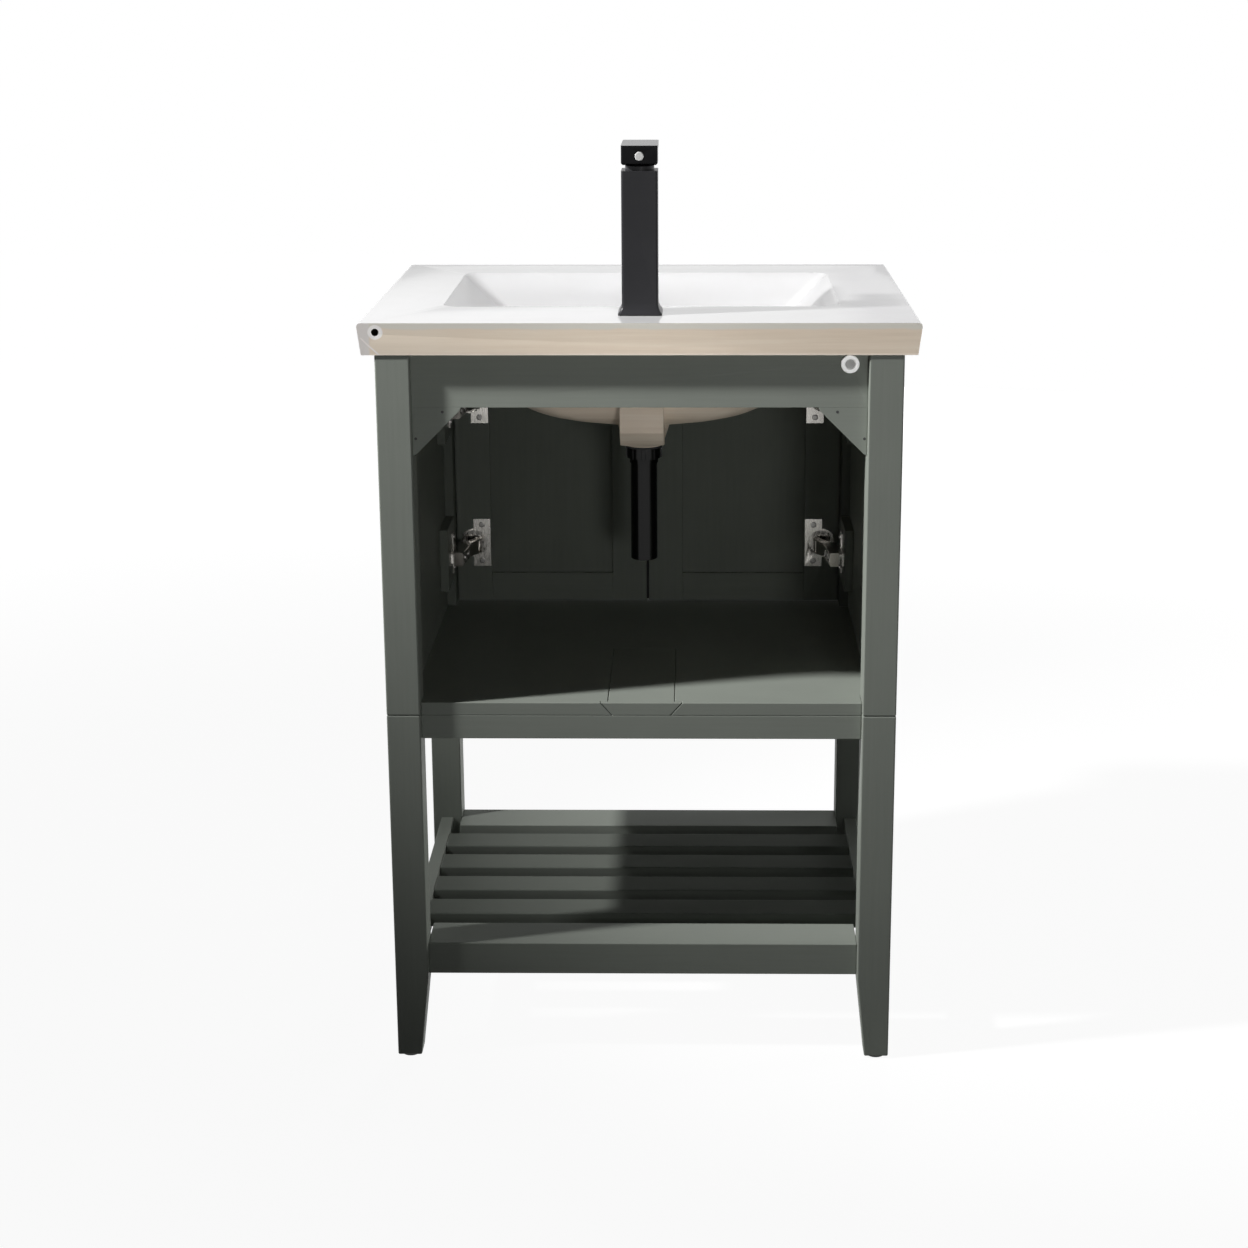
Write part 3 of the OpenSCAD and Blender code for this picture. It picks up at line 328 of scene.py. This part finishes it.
def clayFinish():
    # bare fired clay with long wipe marks; on the back edge a cool band of painted shade under the glaze,
    # a pale lower line of painted highlight, a greyish end that is partly glaze and partly painted shade,
    # with one slanting crease, and glaze round the vent hole
    clay = {
        "wipes": [(0.3, (0.75, 0.63, 0.50)), (0.52, (0.82, 0.70, 0.565)), (0.75, (0.88, 0.78, 0.65))],
        "patch": (0.82, 0.73, 0.61),
        "patchShare": 0.5,
        "band": (0.74, 0.71, 0.64),
        "foot": (0.93, 0.82, 0.70),
        "end": (0.78, 0.74, 0.71),
        "crease": (0.92, 0.86, 0.83),
        "ring": (0.98, 0.95, 0.93),
        "rough": (0.62, 0.85),
        "ringGloss": 0.5,
    }
    mark = {
        # from where to where each mark fades in or out, in metres
        "backY": (topPiece["backY"] - 0.0020, topPiece["backY"] - 0.0008),
        "shadeBandZ": (0.8620, 0.8650),
        "footZ": (0.8362, 0.8372),
        "endX": (0.2900, 0.2925),
        "creaseZ": (0.8530, 0.8550),
        "creaseHalf": (0.0006, 0.0018),
        "ring": (0.0070, 0.0086),
        "creaseFoot": (0.2926, 0.846),  # a point on the crease: across and up
        "creaseLean": 1.07,  # sideways for each step up
        "waver": 0.006,
    }
    finish = Finish("bareClay")
    axes = finish.axes()
    wipes = finish.noise(120, 4, (0.04, 1, 1))
    patches = finish.noise(14, 3, (0.4, 1, 1))
    grit = finish.noise(1500, 2)
    uneven = finish.noise(60, 3, (0.5, 1, 1))
    waver = finish.math("MULTIPLY_ADD", uneven, mark["waver"], -mark["waver"] / 2)
    onBack = finish.between(axes["Y"], *mark["backY"])
    tone = finish.ramp(wipes, clay["wipes"])
    tone = finish.mixed(finish.between(patches, 0.4, 0.7, 0.0, clay["patchShare"]), tone, clay["patch"])

    height = finish.math("ADD", axes["Z"], waver)
    # painted shade: the rounded top of the back edge drawn darker
    band = finish.math("MULTIPLY", onBack, finish.between(height, *mark["shadeBandZ"]))
    tone = finish.mixed(band, tone, clay["band"])
    # painted highlight: a pale line along the back edge's lower rim
    foot = finish.math("MULTIPLY", onBack, finish.between(axes["Z"], *mark["footZ"], 1.0, 0.0))
    tone = finish.mixed(foot, tone, clay["foot"])
    # the glazed end drawn greyer, partly painted shade
    side = finish.math("MULTIPLY_ADD", waver, 0.5, axes["X"])
    end = finish.math("MULTIPLY", onBack, finish.between(side, *mark["endX"]))
    tone = finish.mixed(end, tone, clay["end"])

    creaseX, creaseZ = mark["creaseFoot"]
    risen = finish.math("MULTIPLY", finish.math("SUBTRACT", axes["Z"], creaseZ), mark["creaseLean"])
    aside = finish.math("ADD", finish.math("SUBTRACT", risen, side), creaseX)
    crease = finish.between(finish.math("ABSOLUTE", aside), *mark["creaseHalf"], 1.0, 0.0)
    crease = finish.math("MULTIPLY", crease, finish.between(axes["Z"], *mark["creaseZ"], 1.0, 0.0))
    tone = finish.mixed(finish.math("MULTIPLY", crease, onBack), tone, clay["crease"])

    ventX, ventZ = topPiece["vent"]
    away = finish.add("ShaderNodeVectorMath", operation="DISTANCE")
    finish.link(finish.place, away.inputs[0])
    away.inputs[1].default_value = (ventX, topPiece["backY"], ventZ)
    reach = finish.math("ADD", away.outputs["Value"], finish.math("MULTIPLY", waver, 0.5))
    ring = finish.between(reach, *mark["ring"], 1.0, 0.0)
    tone = finish.mixed(ring, tone, clay["ring"])
    dry = finish.between(grit, 0.2, 0.8, *clay["rough"])
    finish.set(
        Base_Color=tone,
        Roughness=finish.math("SUBTRACT", dry, finish.math("MULTIPLY", ring, clay["ringGloss"])),
    )
    finish.bump([(wipes, 0.0003, 0.3), (grit, 0.0001, 0.4)])
    return finish.material


paintTall = paintFinish("paintedWoodTall", "Z")
paintMatt = paintFinish("paintedWoodMatt", "Z", sheen=0.0)
paintAcross = paintFinish("paintedWoodAcross", "X")
paintDeep = paintFinish("paintedWoodDeep", "Y")
# a lighter copy of the paint for the back rail and gussets: painted light, as they show brighter lit than
# the posts
paintRailLit = paintFinish("paintedWoodRailLit", "X", litLift=1.14)
paintSlat = paintFinish("paintedWoodSlat", "X", sheen=0.03)
glaze = glazeFinish()
bareClay = clayFinish()
# each with its darker and lighter colour and its range of roughness
blackCoat = plainFinish(
    "blackCoat", (0.018, 0.018, 0.020), (0.024, 0.024, 0.027), (0.28, 0.38), specular=0.2
)
# a darker copy of the faucet's black coat for its handle: painted shade
handleShadedBlack = plainFinish(
    "handleShadedBlack", (0.003, 0.003, 0.004), (0.005, 0.005, 0.006), (0.16, 0.22), specular=0.1
)
drainBlack = plainFinish(
    "drainBlack", (0.003, 0.003, 0.003), (0.005, 0.005, 0.005), (0.16, 0.22), specular=0.22
)
nickel = plainFinish(
    "nickelSheet", (0.40, 0.39, 0.36), (0.52, 0.50, 0.47), (0.20, 0.32), metallic=1.0, stretch=(1, 1, 0.1)
)
# a darker copy of the nickel for the hinge arms and links: painted shade
armNickelShaded = plainFinish(
    "armNickelShaded", (0.26, 0.245, 0.22), (0.40, 0.375, 0.34), (0.14, 0.24), metallic=1.0
)
screwSteel = plainFinish("screwSteel", (0.30, 0.29, 0.28), (0.38, 0.37, 0.36), (0.30, 0.42), metallic=1.0)
plainSteel = plainFinish("plainSteel", (0.50, 0.50, 0.50), (0.62, 0.62, 0.61), (0.25, 0.4), metallic=1.0)
rawBrass = plainFinish("rawBrass", (0.60, 0.45, 0.20), (0.70, 0.54, 0.27), (0.25, 0.4), metallic=1.0)
darkRubber = plainFinish("darkRubber", (0.02, 0.02, 0.02), (0.03, 0.03, 0.03), (0.7, 0.85))
whitePlastic = plainFinish("whitePlastic", (0.84, 0.84, 0.82), (0.90, 0.90, 0.88), (0.35, 0.45))
greyPlastic = plainFinish("greyPlastic", (0.36, 0.36, 0.35), (0.44, 0.44, 0.43), (0.4, 0.5))
darkPlastic = plainFinish("darkPlastic", (0.05, 0.05, 0.05), (0.07, 0.07, 0.07), (0.5, 0.65))
ventShade = plainFinish(
    "ventShade", (0.006, 0.005, 0.005), (0.010, 0.009, 0.008), (0.8, 0.9), specular=0.1
)
bareBeech = plainFinish(
    "bareBeech", (0.50, 0.34, 0.19), (0.62, 0.45, 0.27), (0.5, 0.7), stretch=(1, 1, 0.05), depth=0.0002
)
print("finishes ready")


def deselectAll():
    for item in bpy.context.selected_objects:
        item.select_set(False)


def activate(piece):
    deselectAll()
    piece.select_set(True)
    bpy.context.view_layer.objects.active = piece


def settle(piece):
    # puts the piece's place into its mesh
    activate(piece)
    bpy.ops.object.transform_apply(location=True, rotation=True, scale=True)


def addModifier(piece, kind, **values):
    activate(piece)
    modifier = piece.modifiers.new(kind.title(), kind)
    for key, value in values.items():
        setattr(modifier, key, value)
    bpy.ops.object.modifier_apply(modifier=modifier.name)


def easeEdges(piece, width, segments=2, sharp=32):
    # rounds edges sharper than sharp, in degrees; width in mm, or 0 for smooth shading alone
    activate(piece)
    bpy.ops.object.shade_smooth_by_angle(angle=math.radians(sharp))
    if width:
        addModifier(
            piece,
            "BEVEL",
            width=width * mm,
            segments=segments,
            limit_method="ANGLE",
            angle_limit=math.radians(sharp),
            harden_normals=True,
            use_clamp_overlap=True,
        )


def easeLongEdges(piece, width, segments=3, sharp=32, smooth=40, least=0.015):
    # rounds only sharp edges of at least so many metres, so that a small hole doesn't limit the width
    activate(piece)
    bpy.ops.object.mode_set(mode="EDIT")
    bpy.ops.mesh.select_mode(type="EDGE")
    bpy.ops.mesh.select_all(action="DESELECT")
    bpy.ops.mesh.edges_select_sharp(sharpness=math.radians(sharp))
    bpy.ops.object.mode_set(mode="OBJECT")
    points = piece.data.vertices
    for edge in piece.data.edges:
        if (points[edge.vertices[0]].co - points[edge.vertices[1]].co).length < least:
            edge.select = False
    bpy.ops.object.mode_set(mode="EDIT")
    bpy.ops.mesh.bevel(
        offset=width * mm, segments=segments, affect="EDGES", clamp_overlap=False, harden_normals=False
    )
    bpy.ops.mesh.select_mode(type="FACE")
    bpy.ops.object.mode_set(mode="OBJECT")
    bpy.ops.object.shade_smooth_by_angle(angle=math.radians(smooth))
    addModifier(piece, "WEIGHTED_NORMAL", keep_sharp=True, weight=100)


def mergedCopy(nodeName, pieceName):
    # a CAD node's copy with its loose triangles joined and its flat faces made whole
    nearest = 0.00001  # metres
    flattest = 0.4  # degrees
    piece = bpy.data.objects.new(pieceName, nodes[nodeName].data.copy())
    bpy.context.scene.collection.objects.link(piece)
    activate(piece)
    bpy.ops.object.mode_set(mode="EDIT")
    bpy.ops.mesh.select_all(action="SELECT")
    bpy.ops.mesh.remove_doubles(threshold=nearest)
    bpy.ops.mesh.dissolve_limited(angle_limit=math.radians(flattest))
    bpy.ops.object.mode_set(mode="OBJECT")
    return piece


def paintPiece(piece, material):
    piece.data.materials.clear()
    piece.data.materials.append(material)
    for face in piece.data.polygons:
        face.material_index = 0


def declare(piece, body):
    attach(piece, body)


longEase = {
    # in mm: posts and legs meet in a small groove
    "back_left_post": 1.8, "back_right_post": 1.8, "back_left_leg": 1.8, "back_right_leg": 1.8,
    "front_left_post": 0.8, "front_right_post": 0.8, "front_left_leg": 1.5, "front_right_leg": 1.5,
}
edgeEase = {
    # in mm, where painted wood hasn't 1 mm
    "back_gussets": 0.6, "floor_insert": 0.9, "cabinet_floor": 0.9, "shelf_slats": 1.8,
    "left_door_panel": 0.3, "right_door_panel": 0.3, "left_side_panel": 0.5, "right_side_panel": 0.5,
}


def dressNode(nodeName, material, slot, bevel, segments, sharp=32, reshape=None):
    # stands in for a CAD node: the same solid with eased edges
    piece = mergedCopy(nodeName, nodeName + "_skin")
    paintPiece(piece, material)
    if reshape:
        reshape(piece)
    if nodeName in longEase:
        easeLongEdges(piece, longEase[nodeName])
    else:
        easeEdges(piece, bevel, segments, sharp)
    declare(piece, bodyOf[nodeName])
    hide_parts(nodeName)
    return piece


paintedNodes = {
    paintTall: [
        "back_left_post", "back_right_post", "back_left_leg", "back_right_leg",
        "front_left_leg", "front_right_leg", "left_door_stiles", "right_door_stiles",
        "left_door_panel", "right_door_panel", "left_side_panel", "right_side_panel", "hinge_blocks",
    ],
    paintAcross: [
        "front_top_rail", "cabinet_floor", "floor_insert", "back_bottom_rail", "front_bottom_rail",
        "shelf_back_rail", "shelf_front_rail", "left_door_rails", "right_door_rails",
    ],
    paintDeep: ["shelf_left_rail", "shelf_right_rail"],
    paintMatt: ["front_left_post", "front_right_post"],
    paintRailLit: ["back_top_rail", "back_gussets"],
    paintSlat: ["shelf_slats"],
}
for material, names in paintedNodes.items():
    for nodeName in names:
        dressNode(nodeName, material, "painted_wood", edgeEase.get(nodeName, 1.0), 3)
print("painted wood dressed")

channel = {"halfWidth": 0.0255, "nearY": 0.07, "highZ": 0.7155, "rise": 0.015}  # metres


def liftChannelFoot(piece):
    # the overflow channel's foot slopes up from the drain to its back wall
    activate(piece)
    bpy.ops.object.mode_set(mode="EDIT")
    bpy.ops.mesh.select_mode(type="VERT")
    bpy.ops.mesh.select_all(action="DESELECT")
    bpy.ops.object.mode_set(mode="OBJECT")
    for corner in piece.data.vertices:
        spot = corner.co
        low = spot.z < channel["highZ"] and spot.y > channel["nearY"]
        corner.select = low and abs(spot.x) < channel["halfWidth"]
    bpy.ops.object.mode_set(mode="EDIT")
    bpy.ops.transform.translate(value=(0, 0, channel["rise"]))
    bpy.ops.object.mode_set(mode="OBJECT")


def topFinish(face):
    # 2 inside the vent, 1 for bare clay on the back edge and below, 0 for glaze
    spot = face.center
    out = face.normal
    ventX, ventZ = topPiece["vent"]
    if math.hypot(spot.x - ventX, spot.z - ventZ) < topPiece["ventRadius"]:
        return 2
    onBack = spot.y > topPiece["backY"] - 0.0004 and abs(out.y) > 0.9
    underside = spot.z < topPiece["deckUnder"] + 0.003 and out.z < -0.3
    inBowl = abs(spot.x) < topPiece["bowlHalf"] and spot.z > topPiece["bowlLow"] and out.z > -0.05
    outerShell = spot.z < topPiece["deckUnder"] and out.z <= 0.0 and not inBowl
    return 1 if onBack or underside or outerShell else 0


top = dressNode("basin_top", glaze, "glazed_white", 1.2, 3, 38, liftChannelFoot)
top.data.materials.append(bareClay)
top.data.materials.append(ventShade)
for face in top.data.polygons:
    face.material_index = topFinish(face)
print("ceramic top dressed")

fittings = {
    # material, slot, bevel in mm, bevel steps
    "faucet_body": (blackCoat, "black_metal", 0.5, 2),
    "faucet_spout": (blackCoat, "black_metal", 0.5, 2),
    "faucet_handle": (handleShadedBlack, "black_metal", 0.4, 2),
    "hinge_arms": (armNickelShaded, "nickel", 0.2, 1),
    "hinge_plates": (nickel, "nickel", 0.4, 2),
    "left_hinge_cups": (nickel, "nickel", 0.25, 1),
    "right_hinge_cups": (nickel, "nickel", 0.25, 1),
    "left_hinge_links": (armNickelShaded, "nickel", 0, 1),
    "right_hinge_links": (armNickelShaded, "nickel", 0, 1),
    "drain_flange_body": (drainBlack, "black_metal", 0.3, 2),
    "drain_nut": (drainBlack, "black_metal", 0.3, 2),
    "drain_tailpiece": (drainBlack, "black_metal", 0.2, 1),
    "foot_glides": (darkPlastic, "dark_plastic", 0.5, 2),
}
for nodeName, fittingFacts in fittings.items():
    dressNode(nodeName, *fittingFacts)

keptNodes = {
    # shown as the CAD has them
    "faucet_aerator": plainSteel,
    "faucet_gasket": darkRubber,
    "faucet_cartridge": whitePlastic,
    "cartridge_nut": blackCoat,
    "cartridge_carrier": plainSteel,
    "lever_stem": plainSteel,
    "handle_plug": whitePlastic,
    "handle_screw": plainSteel,
    "mounting_shank": rawBrass,
    "mounting_nut": rawBrass,
    "drain_gasket": darkRubber,
    "drain_stopper": drainBlack,
    "left_door_knob": blackCoat,
    "right_door_knob": blackCoat,
    "leg_dowels": bareBeech,
}
for nodeName, material in keptNodes.items():
    nodes[nodeName].material_slots[0].material = material
print("fittings dressed")


def selectFaces(piece, wanted):
    # edit mode is left, faces picked by place or normal, and edit mode entered again
    bpy.ops.object.mode_set(mode="OBJECT")
    for face in piece.data.polygons:
        face.select = wanted(face)
    bpy.ops.object.mode_set(mode="EDIT")


def startPiece(piece, name):
    piece.name = name
    activate(piece)
    bpy.ops.object.mode_set(mode="EDIT")
    bpy.ops.mesh.select_mode(type="FACE")
    bpy.ops.mesh.select_all(action="DESELECT")


def makeCap():
    # round plastic cap on the back rail: a raised ring round a dished grey middle, and a stem
    cap = {
        "thick": 0.004,
        "step": 0.0012,
        "ring": 0.0045,
        "dish": 0.0016,
        "lip": 0.0006,
        "stem": 0.004,  # radius
        "edge": 0.7,  # mm, where the others are in metres
    }
    low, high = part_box("rail_cap")
    radius = (high.x - low.x) / 2
    middle = Vector(((low.x + high.x) / 2, high.y - cap["thick"] / 2, (low.z + high.z) / 2))
    bpy.ops.mesh.primitive_cylinder_add(
        vertices=48, radius=radius, depth=cap["thick"], location=middle, rotation=(-math.pi / 2, 0, 0)
    )
    piece = bpy.context.object
    settle(piece)
    startPiece(piece, "railCap")
    selectFaces(piece, lambda face: face.normal.y > 0.9)
    bpy.ops.mesh.inset(thickness=cap["step"], depth=0)
    bpy.ops.mesh.inset(thickness=cap["ring"] - cap["step"], depth=0)
    bpy.ops.mesh.extrude_region_move(TRANSFORM_OT_translate={"value": (0, -cap["dish"], 0)})
    bpy.ops.mesh.inset(thickness=cap["lip"], depth=0)
    selectFaces(piece, lambda face: face.normal.y < -0.9)
    bpy.ops.mesh.inset(thickness=radius - cap["stem"], depth=0)
    stemEnd = low.y - (high.y - cap["thick"])
    bpy.ops.mesh.extrude_region_move(TRANSFORM_OT_translate={"value": (0, stemEnd, 0)})
    bpy.ops.object.mode_set(mode="OBJECT")
    paintPiece(piece, whitePlastic)
    piece.data.materials.append(greyPlastic)
    for face in piece.data.polygons:
        away = face.center - middle
        onDish = abs(face.center.y - (high.y - cap["dish"])) < 0.0005
        if onDish and away.xz.length < radius - cap["ring"] - 0.0001:
            face.material_index = 1
    easeEdges(piece, cap["edge"], 3, 40)
    declare(piece, bodyOf["rail_cap"])
    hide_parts("rail_cap")


def makeScrew(radius, height):
    # a pan head with a cross recess, standing on z = 0; shaped in shares of its radius and height
    screwHead = {"round": 0.6, "slotLong": 1.25, "slotWide": 0.28, "slotDeep": 0.9}
    bpy.ops.mesh.primitive_cylinder_add(
        vertices=24, radius=radius, depth=height, location=(0, 0, height / 2)
    )
    piece = bpy.context.object
    settle(piece)
    startPiece(piece, "screwMaster")
    selectFaces(piece, lambda face: face.normal.z > 0.9)
    bpy.ops.mesh.bevel(offset=height * screwHead["round"], segments=3, affect="EDGES")
    bpy.ops.object.mode_set(mode="OBJECT")
    for turn in (0, math.pi / 2):
        bpy.ops.mesh.primitive_cube_add(size=1, location=(0, 0, height), rotation=(0, 0, turn))
        cutter = bpy.context.object
        cutter.scale = (
            radius * screwHead["slotLong"],
            radius * screwHead["slotWide"],
            height * screwHead["slotDeep"],
        )
        settle(cutter)
        addModifier(piece, "BOOLEAN", operation="DIFFERENCE", object=cutter, solver="EXACT")
        bpy.data.objects.remove(cutter)
    easeEdges(piece, 0)
    return piece


def placeCopies(master, name, spots, material, body):
    # spots: (place, direction that the head faces, turn)
    copies = []
    for place, out, turn in spots:
        copy = bpy.data.objects.new(name, master.data.copy())
        bpy.context.scene.collection.objects.link(copy)
        facing = Vector(out).to_track_quat("Z", "Y").to_matrix().to_4x4()
        copy.matrix_world = Matrix.Translation(place) @ facing @ Matrix.Rotation(turn, 4, "Z")
        copies.append(copy)
    deselectAll()
    for copy in copies:
        copy.select_set(True)
    bpy.context.view_layer.objects.active = copies[0]
    bpy.ops.object.join()
    piece = bpy.context.object
    piece.name = name
    settle(piece)
    paintPiece(piece, material)
    declare(piece, body)


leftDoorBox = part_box("left_door_stiles")
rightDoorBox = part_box("right_door_stiles")
doorEdge = {
    "ends": 0.0003,
    "clear": 0.0001,
    "hollow": 0.3,  # share of the strip's reach
    "edge": 0.2,  # mm
}


def makeEdgeStrip(name, doorNode, edgeX, reach, depth, rim, finish, slotName):
    # long strip on a door's edge, its outer face hollowed a little
    low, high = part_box(doorNode)
    middle = (edgeX + reach / 2, (low.y + high.y) / 2, (low.z + high.z) / 2)
    bpy.ops.mesh.primitive_cube_add(size=1, location=middle)
    piece = bpy.context.object
    piece.scale = (abs(reach), depth, high.z - low.z - 2 * doorEdge["ends"])
    settle(piece)
    startPiece(piece, name)
    selectFaces(piece, lambda face: face.normal.x * reach > 0 and abs(face.normal.x) > 0.9)
    bpy.ops.mesh.inset(thickness=rim, depth=0)
    bpy.ops.transform.translate(value=(-reach * doorEdge["hollow"], 0, 0))
    bpy.ops.object.mode_set(mode="OBJECT")
    paintPiece(piece, finish)
    easeEdges(piece, doorEdge["edge"])
    declare(piece, bodyOf[doorNode])


meetingReach = doorEdge["clear"] - (rightDoorBox[0].x - leftDoorBox[1].x)
edgeStrips = {
    # door, place of its edge, reach, depth, rim, finish, slot; they close the doors' gaps to daylight
    "door_meeting_strip": (
        "right_door_stiles", rightDoorBox[0].x, meetingReach, 0.006, 0.0012, darkRubber, "rubber"
    ),
    "right_door_edge_band": (
        "right_door_stiles", rightDoorBox[1].x, 0.001, 0.017, 0.0035, paintTall, "painted_wood"
    ),
    "left_door_edge_band": (
        "left_door_stiles", leftDoorBox[0].x, -0.001, 0.017, 0.0035, paintTall, "painted_wood"
    ),
}
for stripName, stripFacts in edgeStrips.items():
    makeEdgeStrip(stripName, *stripFacts)
makeCap()

hingeSet = {
    # screws: in from the door's outer edge, in from its front, and up and down from the hinge's middle
    "heights": (0.515, 0.705),
    "cupScrew": (0.032, 0.020, 0.024),
    "plateScrew": (0.0005, 0.0655, 0.020),
    "armScrews": ((0.01914, 0.074, 0), (0.01725, 0.092, 0)),
    "armSlope": 0.104,
    "head": (0.0037, 0.0014),  # radius and height
    "bigHead": (0.0042, 0.0013),
    "slotTurns": (0.4, 1.3, 7),  # radians: the first slot, each next one, each metre up
}


def hingeSpots(side, inX, inY, rise, out):
    # the same screw's places on the upper and lower hinge of one door
    x = side * (rightDoorBox[1].x - inX)
    y = leftDoorBox[0].y + inY
    first, step, perMetre = hingeSet["slotTurns"]
    spots = []
    for z in hingeSet["heights"]:
        for count, up in enumerate((-rise, rise) if rise else (0,)):
            spots.append(((x, y, z + up), out, first + step * count + perMetre * z))
    return spots


screw = makeScrew(*hingeSet["head"])
bigScrew = makeScrew(*hingeSet["bigHead"])
plateSpots = []
armSpots = []
for side, cupNode in ((-1, "left_hinge_cups"), (1, "right_hinge_cups")):
    cupSpots = hingeSpots(side, *hingeSet["cupScrew"], (0, 1, 0))
    placeCopies(screw, cupNode + "_screws", cupSpots, screwSteel, bodyOf[cupNode])
    plateSpots += hingeSpots(side, *hingeSet["plateScrew"], (-side, 0, 0))
    for armScrew in hingeSet["armScrews"]:
        armSpots += hingeSpots(side, *armScrew, (-side, hingeSet["armSlope"], 0))
placeCopies(screw, "hinge_plate_screws", plateSpots, screwSteel, bodyOf["hinge_plates"])
placeCopies(bigScrew, "hinge_arm_screws", armSpots, screwSteel, bodyOf["hinge_arms"])

gussetPins = {
    "outer": (0.2458, 0.7400),  # across and up, in metres
    "inner": (0.2158, 0.7700),
    "radius": 0.0016,
    "height": 0.0003,
    "edge": 0.08,  # mm
}
bpy.ops.mesh.primitive_cylinder_add(
    vertices=16, radius=gussetPins["radius"], depth=gussetPins["height"], location=(0, 0, 0)
)
pin = bpy.context.object
easeEdges(pin, gussetPins["edge"], 1)
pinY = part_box("back_gussets")[1].y
pinSpots = []
for side in (-1, 1):
    for pinX, pinZ in (gussetPins["outer"], gussetPins["inner"]):
        pinSpots.append(((side * pinX, pinY, pinZ), (0, 1, 0), 0))
placeCopies(pin, "gusset_pins", pinSpots, darkPlastic, bodyOf["back_gussets"])
for master in (screw, bigScrew, pin):
    bpy.data.objects.remove(master)
print("cap, strips, screws and pins made")

lampReach = {
    # pieces that a lamp lights alone (INCLUDE) or leaves out (EXCLUDE), as flags would do in a studio
    "keyLamp": ("EXCLUDE", ["basin_top_skin", "shelf_slats_skin"]),
    "topKey": ("INCLUDE", ["basin_top_skin"]),
    "slatKey": ("INCLUDE", ["shelf_slats_skin"]),
    "topFill": ("INCLUDE", ["basin_top_skin"]),
    "frameFill": ("INCLUDE", [
        "back_left_post_skin", "back_right_post_skin", "back_left_leg_skin", "back_right_leg_skin",
        "back_top_rail_skin", "back_gussets_skin", "back_bottom_rail_skin", "cabinet_floor_skin",
        "floor_insert_skin", "shelf_back_rail_skin", "basin_top_skin", "railCap",
    ]),
    "capFill": ("INCLUDE", ["railCap"]),
    "hingeGlint": ("INCLUDE", [
        "hinge_arms_skin", "hinge_plates_skin", "left_hinge_cups_skin", "right_hinge_cups_skin",
        "left_hinge_links_skin", "right_hinge_links_skin", "hinge_arm_screws", "hinge_plate_screws",
    ]),
    "basinFill": ("INCLUDE", ["basin_top_skin", "drain_nut_skin", "drain_tailpiece_skin"]),
    "frontFill": ("EXCLUDE", ["shelf_slats_skin"]),
    "rightFill": ("EXCLUDE", ["shelf_slats_skin"]),
}
for lampName, (state, names) in lampReach.items():
    reached = bpy.data.collections.new(lampName + "Pieces")
    for pieceName in names:
        reached.objects.link(bpy.data.objects[pieceName])
    for member in reached.collection_objects:
        member.light_linking.link_state = state
    bpy.data.objects[lampName].light_linking.receiver_collection = reached
print("lamps linked to their pieces")


def floorFinish():
    # glows near white for the camera, keeps the object's shadow and bounces little light onto it
    pale = {
        "glow": (0.94, 1.0),  # near the object and far away
        "fade": (1.1, 2.8),  # metres
        "shadow": (0.096, 0.096, 0.096, 1),
        "bounce": (0.28, 0.28, 0.28, 1),
        "mirrored": 0.95,
    }
    finish = Finish("paleFloor")
    away = finish.add("ShaderNodeVectorMath", operation="LENGTH")
    finish.link(finish.place, away.inputs[0])
    glow = finish.add("ShaderNodeEmission")
    glowLevel = finish.between(away.outputs["Value"], *pale["fade"], *pale["glow"])
    finish.link(glowLevel, glow.inputs["Strength"])
    shadowCatch = finish.add("ShaderNodeBsdfDiffuse", Color=pale["shadow"])
    seen = finish.add("ShaderNodeAddShader")
    finish.link(glow.outputs[0], seen.inputs[0])
    finish.link(shadowCatch.outputs[0], seen.inputs[1])
    bounced = finish.add("ShaderNodeBsdfDiffuse", Color=pale["bounce"])
    mirrored = finish.add("ShaderNodeEmission", Strength=pale["mirrored"])
    rays = finish.add("ShaderNodeLightPath")
    shiny = finish.math("MAXIMUM", rays.outputs["Is Glossy Ray"], rays.outputs["Is Transmission Ray"])
    unseen = finish.add("ShaderNodeMixShader")
    finish.link(shiny, unseen.inputs["Fac"])
    finish.link(bounced.outputs[0], unseen.inputs[1])
    finish.link(mirrored.outputs[0], unseen.inputs[2])
    both = finish.add("ShaderNodeMixShader")
    finish.link(rays.outputs["Is Camera Ray"], both.inputs["Fac"])
    finish.link(unseen.outputs[0], both.inputs[1])
    finish.link(seen.outputs[0], both.inputs[2])
    finish.link(both.outputs[0], finish.tree.nodes["Material Output"].inputs["Surface"])
    return finish.material


bpy.ops.mesh.primitive_plane_add(size=14, location=(0, 0, 0))
floor = bpy.context.object
floor.name = "studioFloor"
paintPiece(floor, floorFinish())
print("floor ready")
